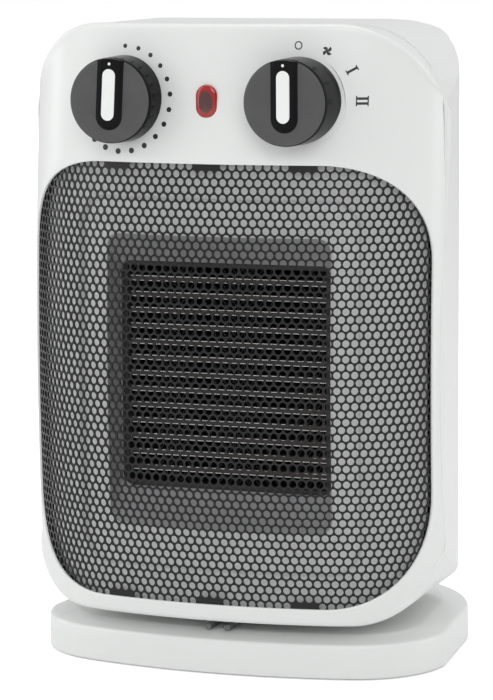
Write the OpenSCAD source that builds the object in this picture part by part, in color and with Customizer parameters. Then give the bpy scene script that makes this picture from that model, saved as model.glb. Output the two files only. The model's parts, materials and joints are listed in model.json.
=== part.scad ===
// Ceramic space heater: a swinging head with two knobs on a flat base.
// Millimetres, +Z up, the front faces -Y. The origin is on the floor, on the swivel axis.

/* [Head casing] */
// Width of the head
body_w = 170; // [160:1:210]
// Height of the head's top above the floor
body_top = 253; // [246:1:310]
// Height of the head's underside above the floor
body_z0 = 21.7; // [21.7:0.1:26]
// How far the front of the head lies in front of the swivel axis
front_reach = 71; // [68:0.5:76]
// How far the back of the head lies behind the swivel axis
rear_reach = 43; // [42:0.5:60]
// Wall thickness of both casings
wall = 2; // [1.6:0.1:2.6]
// Height of the point where the front bulges furthest forward
bulge_z = 114; // [104:1:124]
// Radius of the front's bulge from top to bottom
bulge_r = 955; // [800:5:1500]
// Radius of the front's middle, seen from above
front_r = 227.4; // [210:1:300]
// Radius of the front's corners, seen from above
cheek_r = 58.1; // [50:1:70]
// Radius where the front meets the sides, seen from above
edge_r = 21; // [15:1:26]
// Radius of the upper corners, seen from the front
top_corner_r = 36; // [30:1:46]
// Radius of the lower corners, seen from the front
bottom_corner_r = 28; // [30:1:46]

/* [Grille] */
// Height of the grille opening's lower edge
grille_z0 = 28.5; // [27.5:0.5:34]
// Height of the grille opening's upper edge
grille_z1 = 199.5; // [180:0.5:201]
// How far the opening wraps back round the sides
grille_wrap = 31; // [24:1:34]
// Radius of the opening's corners
grille_corner_r = 42; // [30:1:46]
// Thickness of the grille sheet
grille_t = 0.8; // [0.6:0.1:1]
// Diameter of the holes of the simplified perforation
grille_hole_d = 9; // [5:0.5:10]
// Spacing of the holes of the simplified perforation
grille_pitch = 14; // [12:1:20]

/* [Controls] */
// Height of the knobs above the floor
knob_z = 224; // [222:0.5:226]
// Distance of each knob from the middle
knob_x = 35.3; // [32:0.5:38]
// Diameter of a knob at its face
knob_d = 32.7; // [28:0.1:34]
// How far a knob stands out of its seat
knob_h = 20.2; // [16:0.1:20.2]
// Diameter of the sunk seat round a knob
knob_seat_d = 36.8; // [35.2:0.1:38]
// Diameter of the spindles
spindle_d = 6; // [5:0.1:6.4]
// Width of the pilot lamp lens
lens_w = 8.5; // [6:0.1:12]
// Height of the pilot lamp lens
lens_h = 13; // [10:0.1:16]

/* [Heating element] */
// Height of the middle of the element and of the fan
core_z = 114.5; // [112:0.5:118]
// Number of ceramic bars
bar_count = 13; // [9:1:14]
// Spacing of the ceramic bars
bar_pitch = 6.3; // [5.5:0.1:6.5]
// Thickness of a ceramic bar
bar_t = 1.5; // [1.2:0.1:2.2]
// Length of a ceramic bar
bar_l = 82; // [60:1:84]
// Depth of the element from front to back
bar_depth = 12; // [10:0.5:14]
// Half waves of each row of fins
fin_waves = 40; // [20:2:48]

/* [Fan] */
// Diameter of the fan wheel
fan_d = 98; // [80:1:99]
// Gap between the fan wheel and its ring
fan_gap = 2.5; // [1.5:0.5:3]
// Number of fan blades
blade_count = 7; // [5:1:9]
// Diameter of the motor shaft
shaft_d = 5; // [4:0.1:6]

/* [Base] */
// Width of the base
base_w = 167; // [150:1:190]
// How far the base reaches behind the swivel axis
base_rear = 78; // [78:0.5:90]
// How far the base reaches in front of the swivel axis
base_front = 65; // [62:0.5:72]
// Height of the base's rim
base_rim = 14; // [13:0.5:15]
// Height of the base's raised middle
base_deck = 16; // [15.5:0.1:16]
// Width of the sloping band inside the rim
base_band = 10; // [8:0.5:14]
// Diameter of the swivel post
post_d = 24; // [20:0.5:25]
// Running clearance round each turning shaft
run_gap = 0.08; // [0.05:0.01:0.1]

/* [Swing drive] */
// Distance of the swing motor from the swivel axis
swing_reach = 38; // [38:0.5:40]
// Throw of the crank pin
crank_throw = 16; // [10:0.5:16]

/* [Hidden] */
$fn = 48;
eps = 0.01;
white = "#dfe2e1";
black = "#1b1b1d";
steel = "#9a9da0";

half_w = body_w / 2;
front_y = -front_reach;
knob_face_t = 1.5;
// Angles where the front's three arcs meet, from straight ahead.
cheek_a = 55;
front_a = asin((half_w - edge_r - (cheek_r - edge_r) * sin(cheek_a)) / (front_r - cheek_r));
cheek_c = [(front_r - cheek_r) * sin(front_a), front_y + front_r - (front_r - cheek_r) * cos(front_a)];
edge_c = cheek_c + (cheek_r - edge_r) * [sin(cheek_a), -cos(cheek_a)];
seam_y = edge_c[1];
bulge_y = front_y + bulge_r;
grille_back_y = front_y + grille_wrap;
// The rear casing: a wide back arc, round rear corners and sides that lean in a little.
back_r = 300;
back_corner_r = 50;
side_lean = 5.5;
back_x = half_w - 3;
back_a = asin((back_x - back_corner_r * cos(side_lean)) / (back_r - back_corner_r));
back_c = [(back_r - back_corner_r) * sin(back_a), rear_reach - back_r + (back_r - back_corner_r) * cos(back_a)];
back_top_r = 30;
back_bottom_r = 14;
seam_step = 0.4;
// Element and duct positions, front to back.
duct_y = front_y + 10.5;
core_y0 = front_y + 26;
core_y1 = core_y0 + bar_depth + 4;
plate_t = 0.3;
fin_t = 0.5;
fin_h = bar_pitch - bar_t - 2 * plate_t;
core_hh = bar_pitch * bar_count / 2 + fin_h / 2;
core_rim = 4;
core_hw = bar_l / 2 + 0.2;
duct_mouth_hw = core_hw + 6.3;
duct_mouth_z0 = core_z - core_hh - 16;
duct_mouth_z1 = core_z + core_hh + 8;
duct_t = 1.6;
ring_r = fan_d / 2 + fan_gap;
ring_t = 2;
ring_y0 = core_y1 + 3;
ring_y1 = ring_y0 + 22;
wheel_y0 = ring_y0 + 4;
wheel_y1 = wheel_y0 + 16;
bracket_y = ring_y1 + 4;
bracket_t = 2;
stator_y0 = bracket_y + bracket_t;
stator_y1 = stator_y0 + 22;
stator_hw = 27;
rotor_r = 12.5;
bush_r = 5;
shaft_r = shaft_d / 2;
// Controls.
seat_y = front_y + 13.5;
pad_t = 3;
knob_back_y = seat_y - 0.5;
knob_face_y = seat_y - knob_h;
pointer_w = 9.6;
insert_w = 5.2;
insert_l = 19.7;
pointer_mid = knob_d / 2 - 4.2 - insert_l / 2;
control_y = seat_y + pad_t + 4;
control_t = 1.6;
control_hw = knob_x + 14.7;
control_hh = 12;
control_screw_x = 13.5;
thermo_depth = 16;
switch_depth = 20;
// The thermostat rests turned a little past the top mark.
thermostat_turn = 3;
spindle_r = spindle_d / 2;
bush_in_r = spindle_r + run_gap;
bush_out_r = spindle_r + 2;
lens_y = front_y + 6.4;
// Swivel, base and swing drive.
plate_z0 = 2;
plate_z1 = 4;
base_wall = 2.4;
deck_under = base_deck - 2.2;
base_front_r = 226.4;
base_front_corner_r = 38;
base_back_r = 150;
base_back_corner_r = 65;
post_r = post_d / 2;
post_bore_r = 7;
washer_t = 1.5;
collar_r = post_r + 6;
clip_t = 2;
clip_z = deck_under - 0.4 - clip_t;
inner_z0 = body_z0 + wall;
flange_r = post_r + 8;
swing_y = -swing_reach;
swing_r = 17.5;
swing_h = 14;
crank_z1 = body_z0 - 0.5;
crank_z0 = crank_z1 - 1.8;
track_h = 2;
pin_z0 = base_deck + track_h + 0.4;
foot_places = [[-58, -42], [58, -42], [-50, 46], [50, 46]];
base_screw_places = [[-62, -8], [62, -8], [-30, 58], [30, 58]];
gland_z = 6.8;
gland_r = 4.6;
gland_bore_r = 3.3;
clamp_y = base_rear - 18;
clamp_top = 11.4;
tip_at = [-34, 24];
low_boss_at = [52, inner_z0 + 3.5];
high_boss_at = [58, body_top - 20];
boss_r = 4;
rocker_z = 205;
rocker_y = rear_reach - 0.1;
rocker_tilt = 7;
block_x = [25, 32, 39];
screw_seat_y = 18;
rear_window_hw = 46;
rear_window_z0 = 50;
rear_window_z1 = 178;

// Points of an arc: angle 0 looks along -Y and grows towards +X.
function arc(c, r, a0, a1, n) =
  [for (i = [0:n]) let (a = a0 + (a1 - a0) * i / n) c + r * [sin(a), -cos(a)]];
function mirrored(half) = concat(half, [for (i = [len(half) - 1:-1:0]) [-half[i][0], half[i][1]]]);

// Plan of the front casing, set in by d.
function front_half(d) = concat(
  arc([0, front_y + front_r], front_r - d, front_a / 4, front_a, 3),
  arc(cheek_c, cheek_r - d, front_a + 5, cheek_a, 6),
  arc(edge_c, edge_r - d, cheek_a + 8, 90, 4),
  [[half_w - d, seam_y + 40]]);
// Plan of the rear casing, set in by d, from the seam to the back.
function rear_half(d) = concat(
  [[half_w - seam_step - d, seam_y - eps]],
  arc(back_c, back_corner_r - d, 90 + side_lean, 180 - back_a, 8),
  arc([0, rear_reach - back_r], back_r - d, 180 - back_a * 2 / 3, 180 - back_a / 3, 1));
// Plan of the base, set in by d.
base_fa = asin((base_w / 2 - base_front_corner_r) / (base_front_r - base_front_corner_r));
base_fc = [(base_front_r - base_front_corner_r) * sin(base_fa),
  -base_front + base_front_r - (base_front_r - base_front_corner_r) * cos(base_fa)];
base_side = base_w / 2 - 3.5;
base_ba = asin((base_side - base_back_corner_r) / (base_back_r - base_back_corner_r));
base_bc = [(base_back_r - base_back_corner_r) * sin(base_ba),
  base_rear - base_back_r + (base_back_r - base_back_corner_r) * cos(base_ba)];
function base_half(d) = concat(
  arc([0, -base_front + base_front_r], base_front_r - d, base_fa / 3, base_fa, 3),
  arc(base_fc, base_front_corner_r - d, base_fa + 8, 88, 7),
  arc(base_bc, base_back_corner_r - d, 92, 180 - base_ba, 8),
  arc([0, base_rear - base_back_r], base_back_r - d, 180 - base_ba * 2 / 3, 180 - base_ba / 3, 1));
// A rectangle with its own radius at the top and at the bottom corners.
function tile(hw, z0, z1, rt, rb) = mirrored(concat(
  arc([hw - rb, z0 + rb], rb, 0, 90, 8),
  arc([hw - rt, z1 - rt], rt, 90, 180, 8)));

module ycyl(r, y0, y1, x = 0, z = 0) {
  translate([x, y1, z]) rotate([90, 0, 0]) cylinder(r = r, h = y1 - y0);
}
module yprism(y0, y1) {
  translate([0, y1, 0]) rotate([90, 0, 0]) linear_extrude(y1 - y0) children();
}
module box(x0, x1, y0, y1, z0, z1) {
  translate([x0, y0, z0]) cube([x1 - x0, y1 - y0, z1 - z0]);
}
module both() {
  children();
  mirror([1, 0, 0]) children();
}
module stadium(w, h) {
  translate([0, (h - w) / 2]) circle(d = w);
  translate([0, -(h - w) / 2]) circle(d = w);
  square([w, h - w], center = true);
}
// The head's front view, set in by d.
module head_outline(d) {
  polygon(tile(half_w - d, body_z0 + d, body_top - d, top_corner_r - d, bottom_corner_r - d));
}
module grille_outline(d) {
  polygon(tile(half_w + 1 - d, grille_z0 + d, grille_z1 - d, grille_corner_r - d, grille_corner_r - d));
}
// The plan swept round the far axis that gives the front its bulge.
module bulged(points) {
  sweep_a = 12;
  translate([0, bulge_y, bulge_z]) rotate([90, 0, -90])
    rotate_extrude(angle = 2 * sweep_a, start = -sweep_a, $fn = 360)
      polygon([for (p = points) [bulge_y - p[1], p[0]]]);
}
module front_solid(d, y1) {
  intersection() {
    bulged(mirrored(front_half(d)));
    yprism(front_y - 5, y1) head_outline(d);
  }
}
// The rear casing's side view, set in by d.
module rear_side(d) {
  z0 = body_z0 + seam_step + d;
  z1 = body_top - seam_step - d;
  y1 = rear_reach - d;
  top = arc([y1 - back_top_r, z1 - back_top_r], back_top_r, 90, 180, 6);
  low = arc([y1 - back_bottom_r, z0 + back_bottom_r], back_bottom_r, 0, 90, 4);
  translate([-half_w, 0, 0]) rotate([90, 0, 90]) linear_extrude(body_w)
    polygon(concat([[seam_y - 1, z0]], low, top, [[seam_y - 1, z1]]));
}
module rear_solid(d, y0) {
  intersection() {
    linear_extrude(body_top + 5) polygon(mirrored(rear_half(d)));
    yprism(y0, rear_reach + 5) head_outline(d + seam_step);
    rear_side(d);
  }
}
// A screw along +Y with its head at the y0 end.
module yscrew(x, z, y0, y1, r = 1.5, head_r = 3, head_t = 1.8) {
  ycyl(r, y0, y1, x, z);
  difference() {
    ycyl(head_r, y0, y0 + head_t, x, z);
    box(x - head_r, x + head_r, y0 - eps, y0 + 0.7, z - 0.4, z + 0.4);
  }
}
// A screw along Z with its head at the bottom.
module zscrew(x, y, z0, z1, r = 1.45, head_r = 3.2, head_t = 1.4) {
  translate([x, y, z0]) {
    cylinder(r = r, h = z1 - z0);
    difference() {
      cylinder(r = head_r, h = head_t);
      translate([-head_r, -0.4, -eps]) cube([2 * head_r, 0.8, 0.7]);
    }
  }
}

// ---- Base ----
module base_cover() {
  color(white) difference() {
    union() {
      translate([0, 0, plate_z0]) linear_extrude(base_rim - plate_z0) polygon(mirrored(base_half(0)));
      translate([0, 0, base_rim - eps]) linear_extrude(base_deck - base_rim + eps)
        polygon(mirrored(base_half(base_band)));
    }
    difference() {
      union() {
        translate([0, 0, plate_z0 - eps]) linear_extrude(base_rim - base_wall - plate_z0 + eps)
          polygon(mirrored(base_half(base_wall)));
        translate([0, 0, plate_z1]) linear_extrude(deck_under - plate_z1)
          polygon(mirrored(base_half(base_band + base_wall)));
      }
      for (p = base_screw_places) translate([p[0], p[1], plate_z1]) cylinder(r = boss_r, h = base_deck);
    }
    cylinder(r = post_r + run_gap, h = base_deck + 1);
    for (p = base_screw_places) translate([p[0], p[1], 0]) cylinder(r = 1.5, h = base_rim - base_wall);
    ycyl(gland_r, base_rear - 6, base_rear + 5, 0, gland_z);
  }
}
module base_plate() {
  color(steel) difference() {
    translate([0, 0, plate_z0]) linear_extrude(plate_z1 - plate_z0)
      polygon(mirrored(base_half(base_wall + 0.2)));
    for (p = base_screw_places) translate([p[0], p[1], 0]) cylinder(r = 1.7, h = 10);
    for (p = foot_places) translate([p[0], p[1], 0]) cylinder(r = 2.5, h = 10);
    translate([tip_at[0], tip_at[1], 0]) cylinder(r = 3 + run_gap, h = 10);
    box(-gland_r - 1, gland_r + 1, base_rear - 12, base_rear, 0, 10);
  }
}
module rubber_feet() {
  color(black) for (p = foot_places) translate([p[0], p[1], 0]) {
    cylinder(r = 7, h = plate_z0);
    cylinder(r = 2.5, h = plate_z1 + 0.2);
    translate([0, 0, plate_z1]) cylinder(r = 3.4, h = 1.4);
  }
}
module base_screws() {
  color(steel) for (p = base_screw_places) zscrew(p[0], p[1], plate_z0 - 1.4, base_rim - base_wall - 0.5);
}
module swivel_washer() {
  color("#c9c4b4") translate([0, 0, base_deck]) difference() {
    cylinder(r = collar_r + 1, h = washer_t);
    translate([0, 0, -1]) cylinder(r = post_r + 0.4, h = washer_t + 2);
  }
}
// Two rails that hold the crank pin in line with the swivel axis.
module crank_track() {
  slot = 5.6;
  rail = 2.2;
  color(white) both()
    box(slot / 2, slot / 2 + rail, swing_y - crank_throw - 3, swing_y + crank_throw + 0.5,
      base_deck, base_deck + track_h);
}
module tip_switch() {
  color(black) {
    translate([tip_at[0] - 6, tip_at[1] - 4, 8.3]) cube([22, 8, deck_under - 8.3]);
    translate([tip_at[0], tip_at[1], 7.7]) cylinder(r = 1.2, h = 1);
  }
}
module tip_plunger() {
  color("#c8c8c8") translate([tip_at[0], tip_at[1], 0]) {
    translate([0, 0, 0.1]) cylinder(r = 3, h = 7);
    translate([0, 0, 6.3]) cylinder(r = 5, h = 1);
  }
}
module cord_gland() {
  color(black) difference() {
    union() {
      ycyl(gland_r, base_rear - 6, base_rear - 0.2, 0, gland_z);
      ycyl(gland_r - 0.4, base_rear - 10, base_rear - 5.9, 0, gland_z);
    }
    ycyl(gland_bore_r, base_rear - 12, base_rear + 1, 0, gland_z);
  }
}
module cord_clamp() {
  color(white) {
    difference() {
      box(-14, 14, clamp_y - 5, clamp_y + 5, plate_z1, clamp_top);
      ycyl(gland_bore_r, clamp_y - 6, clamp_y + 6, 0, gland_z);
      both() translate([10, clamp_y, plate_z1 + 1]) cylinder(r = 1.3, h = 10);
    }
  }
}
module clamp_screws() {
  color(steel) both() translate([10, clamp_y, 0]) {
    translate([0, 0, plate_z1 + 1.5]) cylinder(r = 1.25, h = clamp_top - plate_z1 - 1.5);
    translate([0, 0, clamp_top]) cylinder(r = 2.4, h = 1.3);
  }
}

// ---- Swivel post, on the head ----
module swivel_post() {
  color(white) difference() {
    union() {
      translate([0, 0, plate_z1 + 2]) cylinder(r = post_r, h = inner_z0 + 3 - plate_z1 - 2);
      translate([0, 0, base_deck + washer_t + 0.3])
        cylinder(r = collar_r, h = body_z0 - base_deck - washer_t - 0.3);
      translate([0, 0, inner_z0 + seam_step]) cylinder(r = flange_r, h = 2);
    }
    cylinder(r = post_bore_r, h = 60);
    translate([0, 0, clip_z]) difference() {
      cylinder(r = post_r + 1, h = clip_t);
      cylinder(r = post_r - 1.5, h = clip_t);
    }
    for (a = [45:90:315]) rotate(a) translate([post_r + 4, 0, inner_z0 - 6]) cylinder(r = 1.5, h = 12);
  }
}
module swivel_retainer() {
  color(steel) translate([0, 0, clip_z]) difference() {
    cylinder(r = post_r + 4, h = clip_t);
    translate([0, 0, -1]) cylinder(r = post_r - 1.5, h = clip_t + 2);
    translate([-7, 0, -1]) cube([14, 40, clip_t + 2]);
  }
}
module post_screws() {
  color(steel) for (a = [45:90:315]) rotate(a) translate([post_r + 4, 0, 0]) {
    translate([0, 0, body_z0 - 2]) cylinder(r = 1.45, h = wall + seam_step + 4);
    translate([0, 0, inner_z0 + seam_step + 2]) cylinder(r = 2.8, h = 1.5);
  }
}

// ---- Head: casings ----
module boss_pair(at, r, y0, y1) {
  both() ycyl(r, y0, y1, at[0], at[1]);
}
module front_frame() {
  color(white) difference() {
    union() {
      difference() {
        front_solid(0, seam_y);
        front_solid(wall, seam_y + 5);
      }
      intersection() {
        union() {
          both() ycyl(knob_seat_d / 2 + 1.6, front_y, seat_y + pad_t, knob_x, knob_z);
          boss_pair(low_boss_at, 3.5, duct_y + 6, seam_y);
          boss_pair(high_boss_at, boss_r, front_y + 5, seam_y);
          both() ycyl(3.2, front_y, control_y, control_screw_x, knob_z);
        }
        front_solid(0.5, seam_y);
      }
    }
    intersection() {
      box(-half_w - 5, half_w + 5, front_y - 5, grille_back_y, 0, body_top);
      yprism(front_y - 5, seam_y) grille_outline(0);
    }
    both() ycyl(knob_seat_d / 2, front_y - 5, seat_y, knob_x, knob_z);
    both() ycyl(bush_out_r + 0.5, front_y, seat_y + 10, knob_x, knob_z);
    translate([0, 0, knob_z]) yprism(front_y - 5, seat_y + 10) stadium(lens_w + 0.2, lens_h + 0.2);
    boss_pair(high_boss_at, 1.6, front_y + 24, seam_y + 1);
    boss_pair(low_boss_at, 1.6, duct_y + 8, seam_y + 1);
    both() ycyl(1.3, control_y - 6, control_y + 1, control_screw_x, knob_z);
    translate([0, swing_y, body_z0 - 1]) cylinder(r = 5.4, h = wall + 2);
  }
}
module front_grille() {
  sheet_out = wall;
  lap = 2.5;
  rows = floor((grille_z1 - grille_z0 - 24) / grille_pitch);
  cols = floor(118 / grille_pitch);
  color(black) difference() {
    intersection() {
      bulged(mirrored(front_half(sheet_out)));
      box(-half_w, half_w, front_y - 5, grille_back_y + lap, 0, body_top);
      yprism(front_y - 5, seam_y) intersection() {
        grille_outline(-lap);
        head_outline(wall + 0.3);
      }
    }
    bulged(mirrored(front_half(sheet_out + grille_t)));
    for (i = [0:rows], j = [0:cols])
      ycyl(grille_hole_d / 2, front_y - 3, front_y + 25, (j - cols / 2) * grille_pitch,
        (grille_z0 + grille_z1) / 2 + (i - rows / 2) * grille_pitch, $fn = 24);
  }
}
module rear_shell() {
  color(white) difference() {
    union() {
      difference() {
        rear_solid(0, seam_y);
        rear_solid(wall, seam_y - 5);
      }
      intersection() {
        union() {
          boss_pair(low_boss_at, 3.5, seam_y, rear_reach - 4);
          boss_pair(high_boss_at, boss_r, seam_y, rear_reach - 4);
        }
        rear_solid(0.5, seam_y);
      }
    }
    boss_pair(low_boss_at, 1.7, seam_y - 1, rear_reach);
    boss_pair(high_boss_at, 1.7, seam_y - 1, rear_reach);
    boss_pair(low_boss_at, 3, screw_seat_y, rear_reach + 1);
    boss_pair(high_boss_at, 3.3, screw_seat_y, rear_reach + 1);
    box(-rear_window_hw, rear_window_hw, rear_reach - 12, rear_reach + 5, rear_window_z0, rear_window_z1);
    box(-9.6, 9.6, rear_reach - 12, rear_reach + 5, rocker_z - 6.6, rocker_z + 6.6);
    translate([0, 0, body_z0 - 1]) cylinder(r = post_r + 0.1, h = wall + 4);
    for (a = [45:90:315]) rotate(a) translate([post_r + 4, 0, body_z0 - 1]) cylinder(r = 1.5, h = 6);
  }
}
// Plan band of the rear casing between two depths below its skin.
module rear_band(d0, d1, z0, z1, hw) {
  intersection() {
    difference() {
      translate([0, 0, z0]) linear_extrude(z1 - z0) polygon(mirrored(rear_half(d0)));
      translate([0, 0, z0 - 1]) linear_extrude(z1 - z0 + 2) polygon(mirrored(rear_half(d1)));
    }
    box(-hw, hw, 0, rear_reach + 5, z0, z1);
  }
}
module rear_grille() {
  slot_pitch = 6.4;
  slot_h = 3.4;
  slots = floor((rear_window_z1 - rear_window_z0 - 12) / slot_pitch);
  color(white) difference() {
    union() {
      rear_band(0.2, wall, rear_window_z0 + 0.1, rear_window_z1 - 0.1, rear_window_hw - 0.1);
      rear_band(wall, wall + 1.6, rear_window_z0 - 3, rear_window_z1 + 3, rear_window_hw + 2);
    }
    for (i = [0:slots]) both()
      box(2, rear_window_hw - 4, 0, rear_reach + 5,
        rear_window_z0 + 5 + i * slot_pitch, rear_window_z0 + 5 + i * slot_pitch + slot_h);
  }
}
module dust_filter() {
  color("#555555") rear_band(wall + 1.6, wall + 2.4, rear_window_z0 + 2, rear_window_z1 - 2, rear_window_hw - 2);
}
module housing_screws() {
  color(steel) {
    both() mirror([0, 1, 0]) yscrew(low_boss_at[0], low_boss_at[1], -screw_seat_y - 2, -seam_y + 14, 1.55, 2.8, 2);
    both() mirror([0, 1, 0]) yscrew(high_boss_at[0], high_boss_at[1], -screw_seat_y - 2, -seam_y + 8, 1.55, 3, 2);
  }
}

// ---- Head: duct, element and fan ----
module air_duct() {
  low = inner_z0;
  high = grille_z1 + 3;
  far = grille_back_y + 6;
  out_x = half_w - 6;
  mid_x = duct_mouth_hw + 5;
  core_front = core_y0;
  color(white) {
    difference() {
      intersection() {
        translate([0, 0, low]) linear_extrude(high - low) polygon(mirrored([
          [mid_x, duct_y], [out_x, far], [out_x - 2, far], [mid_x - 0.7, duct_y + duct_t]]));
        bulged(mirrored(front_half(wall + grille_t + 0.5)));
      }
      box(-duct_mouth_hw, duct_mouth_hw, duct_y - 5, far, duct_mouth_z0, duct_mouth_z1);
      yprism(duct_y - 9, far + 9) difference() {
        translate([-half_w, 0]) square([body_w, body_top]);
        head_outline(wall + 0.3);
      }
      boss_pair(low_boss_at, 3.8, duct_y, seam_y);
    }
    difference() {
      hull() {
        box(-duct_mouth_hw - duct_t, duct_mouth_hw + duct_t, duct_y + duct_t, duct_y + duct_t + eps,
          duct_mouth_z0 - duct_t, duct_mouth_z1 + duct_t);
        box(-core_hw - duct_t, core_hw + duct_t, core_front - eps, core_front,
          core_z - core_hh - duct_t, core_z + core_hh + duct_t);
      }
      hull() {
        box(-duct_mouth_hw, duct_mouth_hw, duct_y, duct_y + eps, duct_mouth_z0, duct_mouth_z1);
        box(-core_hw, core_hw, core_front, core_front + eps, core_z - core_hh, core_z + core_hh);
      }
    }
  }
}
module heater_frame() {
  hw = core_hw + core_rim;
  hh = core_hh + core_rim;
  color(black) difference() {
    box(-hw, hw, core_y0, core_y1, core_z - hh, core_z + hh);
    box(-core_hw, core_hw, core_y0 - 1, core_y1 + 1, core_z - core_hh, core_z + core_hh);
  }
}
module core_rows(count, t) {
  for (i = [0:count - 1]) translate([0, 0, core_z + (i - (count - 1) / 2) * bar_pitch - t / 2])
    children();
}
module ceramic_bars() {
  color("#8a6f52") core_rows(bar_count, bar_t)
    box(-bar_l / 2, bar_l / 2, core_y0 + 2.5, core_y0 + 1.5 + bar_depth, 0, bar_t);
}
module contact_plates() {
  color("#c9ccd0") for (s = [0, 1]) translate([0, 0, s * (bar_t + plate_t) - plate_t])
    core_rows(bar_count, bar_t)
      box(-bar_l / 2, bar_l / 2 + 0.2, core_y0 + 2, core_y0 + 2 + bar_depth, 0, plate_t);
}
module heater_fins() {
  dx = bar_l / fin_waves;
  up = [for (i = [0:fin_waves]) [-bar_l / 2 + i * dx, (i % 2) * (fin_h - fin_t) + fin_t]];
  down = [for (i = [fin_waves:-1:0]) [-bar_l / 2 + i * dx, (i % 2) * (fin_h - fin_t)]];
  color("#4a4a4c") core_rows(bar_count + 1, fin_h)
    yprism(core_y0 + 2.5, core_y0 + 1.5 + bar_depth) polygon(concat(up, down));
}
module heater_terminals() {
  color("#b9b9b4") for (z = [-24, 0, 24])
    box(core_hw + core_rim, core_hw + core_rim + 8, core_y1 - 5, core_y1 - 4.2, core_z + z - 3.15, core_z + z + 3.15);
}
module thermal_cutout() {
  z0 = core_z + core_hh + core_rim;
  color("#b0b0b0") translate([22, core_y0 + 9, z0]) {
    translate([-12, -5, 0]) cube([24, 10, 0.8]);
    translate([0, 0, 0.8]) cylinder(r = 5, h = 6);
    translate([0, 0, 0.8]) cylinder(r = 6.5, h = 2);
    both() translate([3.5, -1.5, 6]) cube([0.8, 3, 7]);
  }
}
module thermal_fuse() {
  z0 = core_z + core_hh + core_rim;
  color("#d8d2c0") translate([-22, core_y0 + 9, z0]) {
    translate([-12, -3, 0]) cube([24, 6, 1]);
    translate([0, 0, 2.8]) rotate([0, 90, 0]) cylinder(r = 2, h = 12, center = true);
    translate([0, 0, 2.8]) rotate([0, 90, 0]) cylinder(r = 0.6, h = 24, center = true);
    both() translate([9, -1, 0.9]) cube([2, 2, 1.6]);
  }
}
module fan_duct() {
  hw = core_hw + core_rim;
  hh = core_hh + core_rim;
  plate_r = ring_r + 4;
  color(white) difference() {
    union() {
      box(-hw, hw, core_y1, ring_y0, core_z - hh, core_z + hh);
      box(-plate_r, plate_r, ring_y0, ring_y0 + 2, core_z - plate_r, core_z + plate_r);
      ycyl(ring_r + ring_t, ring_y0, ring_y1, 0, core_z);
      both() box(ring_r, ring_r + 9, ring_y0, bracket_y, core_z - 6, core_z + 6);
    }
    ycyl(ring_r, ring_y0 + 2, bracket_y + 1, 0, core_z);
    intersection() {
      ycyl(ring_r, ring_y0 - 1, ring_y0 + 3, 0, core_z);
      box(-plate_r, plate_r, ring_y0 - 1, ring_y0 + 3, core_z - plate_r, core_z + plate_r);
    }
    box(-core_hw, core_hw, core_y1 - 1, ring_y0 + 0.5, core_z - core_hh, core_z + core_hh);
    both() ycyl(1.3, ring_y0 + 3, bracket_y + 1, ring_r + 5.5, core_z);
  }
}
module motor_brackets() {
  color(steel) {
    difference() {
      box(-ring_r - 9, ring_r + 9, bracket_y, bracket_y + bracket_t, core_z - 8, core_z + 8);
      ycyl(bush_r, bracket_y - 1, bracket_y + 5, 0, core_z);
      both() ycyl(1.7, bracket_y - 1, bracket_y + 5, 20, core_z);
      both() ycyl(1.7, bracket_y - 1, bracket_y + 5, ring_r + 5.5, core_z);
    }
    difference() {
      box(-stator_hw, stator_hw, stator_y1, stator_y1 + bracket_t, core_z - 8, core_z + 8);
      ycyl(bush_r, stator_y1 - 1, stator_y1 + 5, 0, core_z);
      both() ycyl(1.7, stator_y1 - 1, stator_y1 + 5, 20, core_z);
    }
  }
}
module motor_screws() {
  color(steel) {
    both() mirror([0, 1, 0]) yscrew(20, core_z, -stator_y1 - bracket_t - 2, -bracket_y + 1.5, 1.6, 3, 2);
    both() mirror([0, 1, 0]) yscrew(ring_r + 5.5, core_z, -bracket_y - bracket_t - 2, -bracket_y + 12, 1.25, 2.8, 2);
  }
}
module motor_bearings() {
  color("#b08d57") for (y = [bracket_y - 2, stator_y1 - 2]) difference() {
    ycyl(bush_r, y, y + 6, 0, core_z);
    ycyl(shaft_r + 0.05, y - 1, y + 7, 0, core_z);
  }
}
module stator_core() {
  bore = rotor_r + 0.5;
  color("#6f7377") difference() {
    box(-stator_hw, stator_hw, stator_y0, stator_y1, core_z - 42, core_z + 20);
    ycyl(bore, stator_y0 - 1, stator_y1 + 1, 0, core_z);
    box(-14, 14, stator_y0 - 1, stator_y1 + 1, core_z - 32, core_z - 16);
    both() ycyl(1.7, stator_y0 - 1, stator_y1 + 1, 20, core_z);
  }
}
module motor_coil() {
  color("#a5562a") difference() {
    box(-13.5, 13.5, stator_y0 - 5, stator_y1 + 5, core_z - 49, core_z - 24);
    box(-15, 15, stator_y0, stator_y1, core_z - 42, core_z - 32);
  }
}
module motor_rotor() {
  color("#8b8f93") difference() {
    ycyl(rotor_r, stator_y0 + 3, stator_y1 - 3, 0, core_z);
    ycyl(shaft_r, stator_y0, stator_y1, 0, core_z);
  }
}
module fan_shaft() {
  color("#d0d3d6") ycyl(shaft_r, wheel_y0 - 4, stator_y1 + 7, 0, core_z);
}
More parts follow.
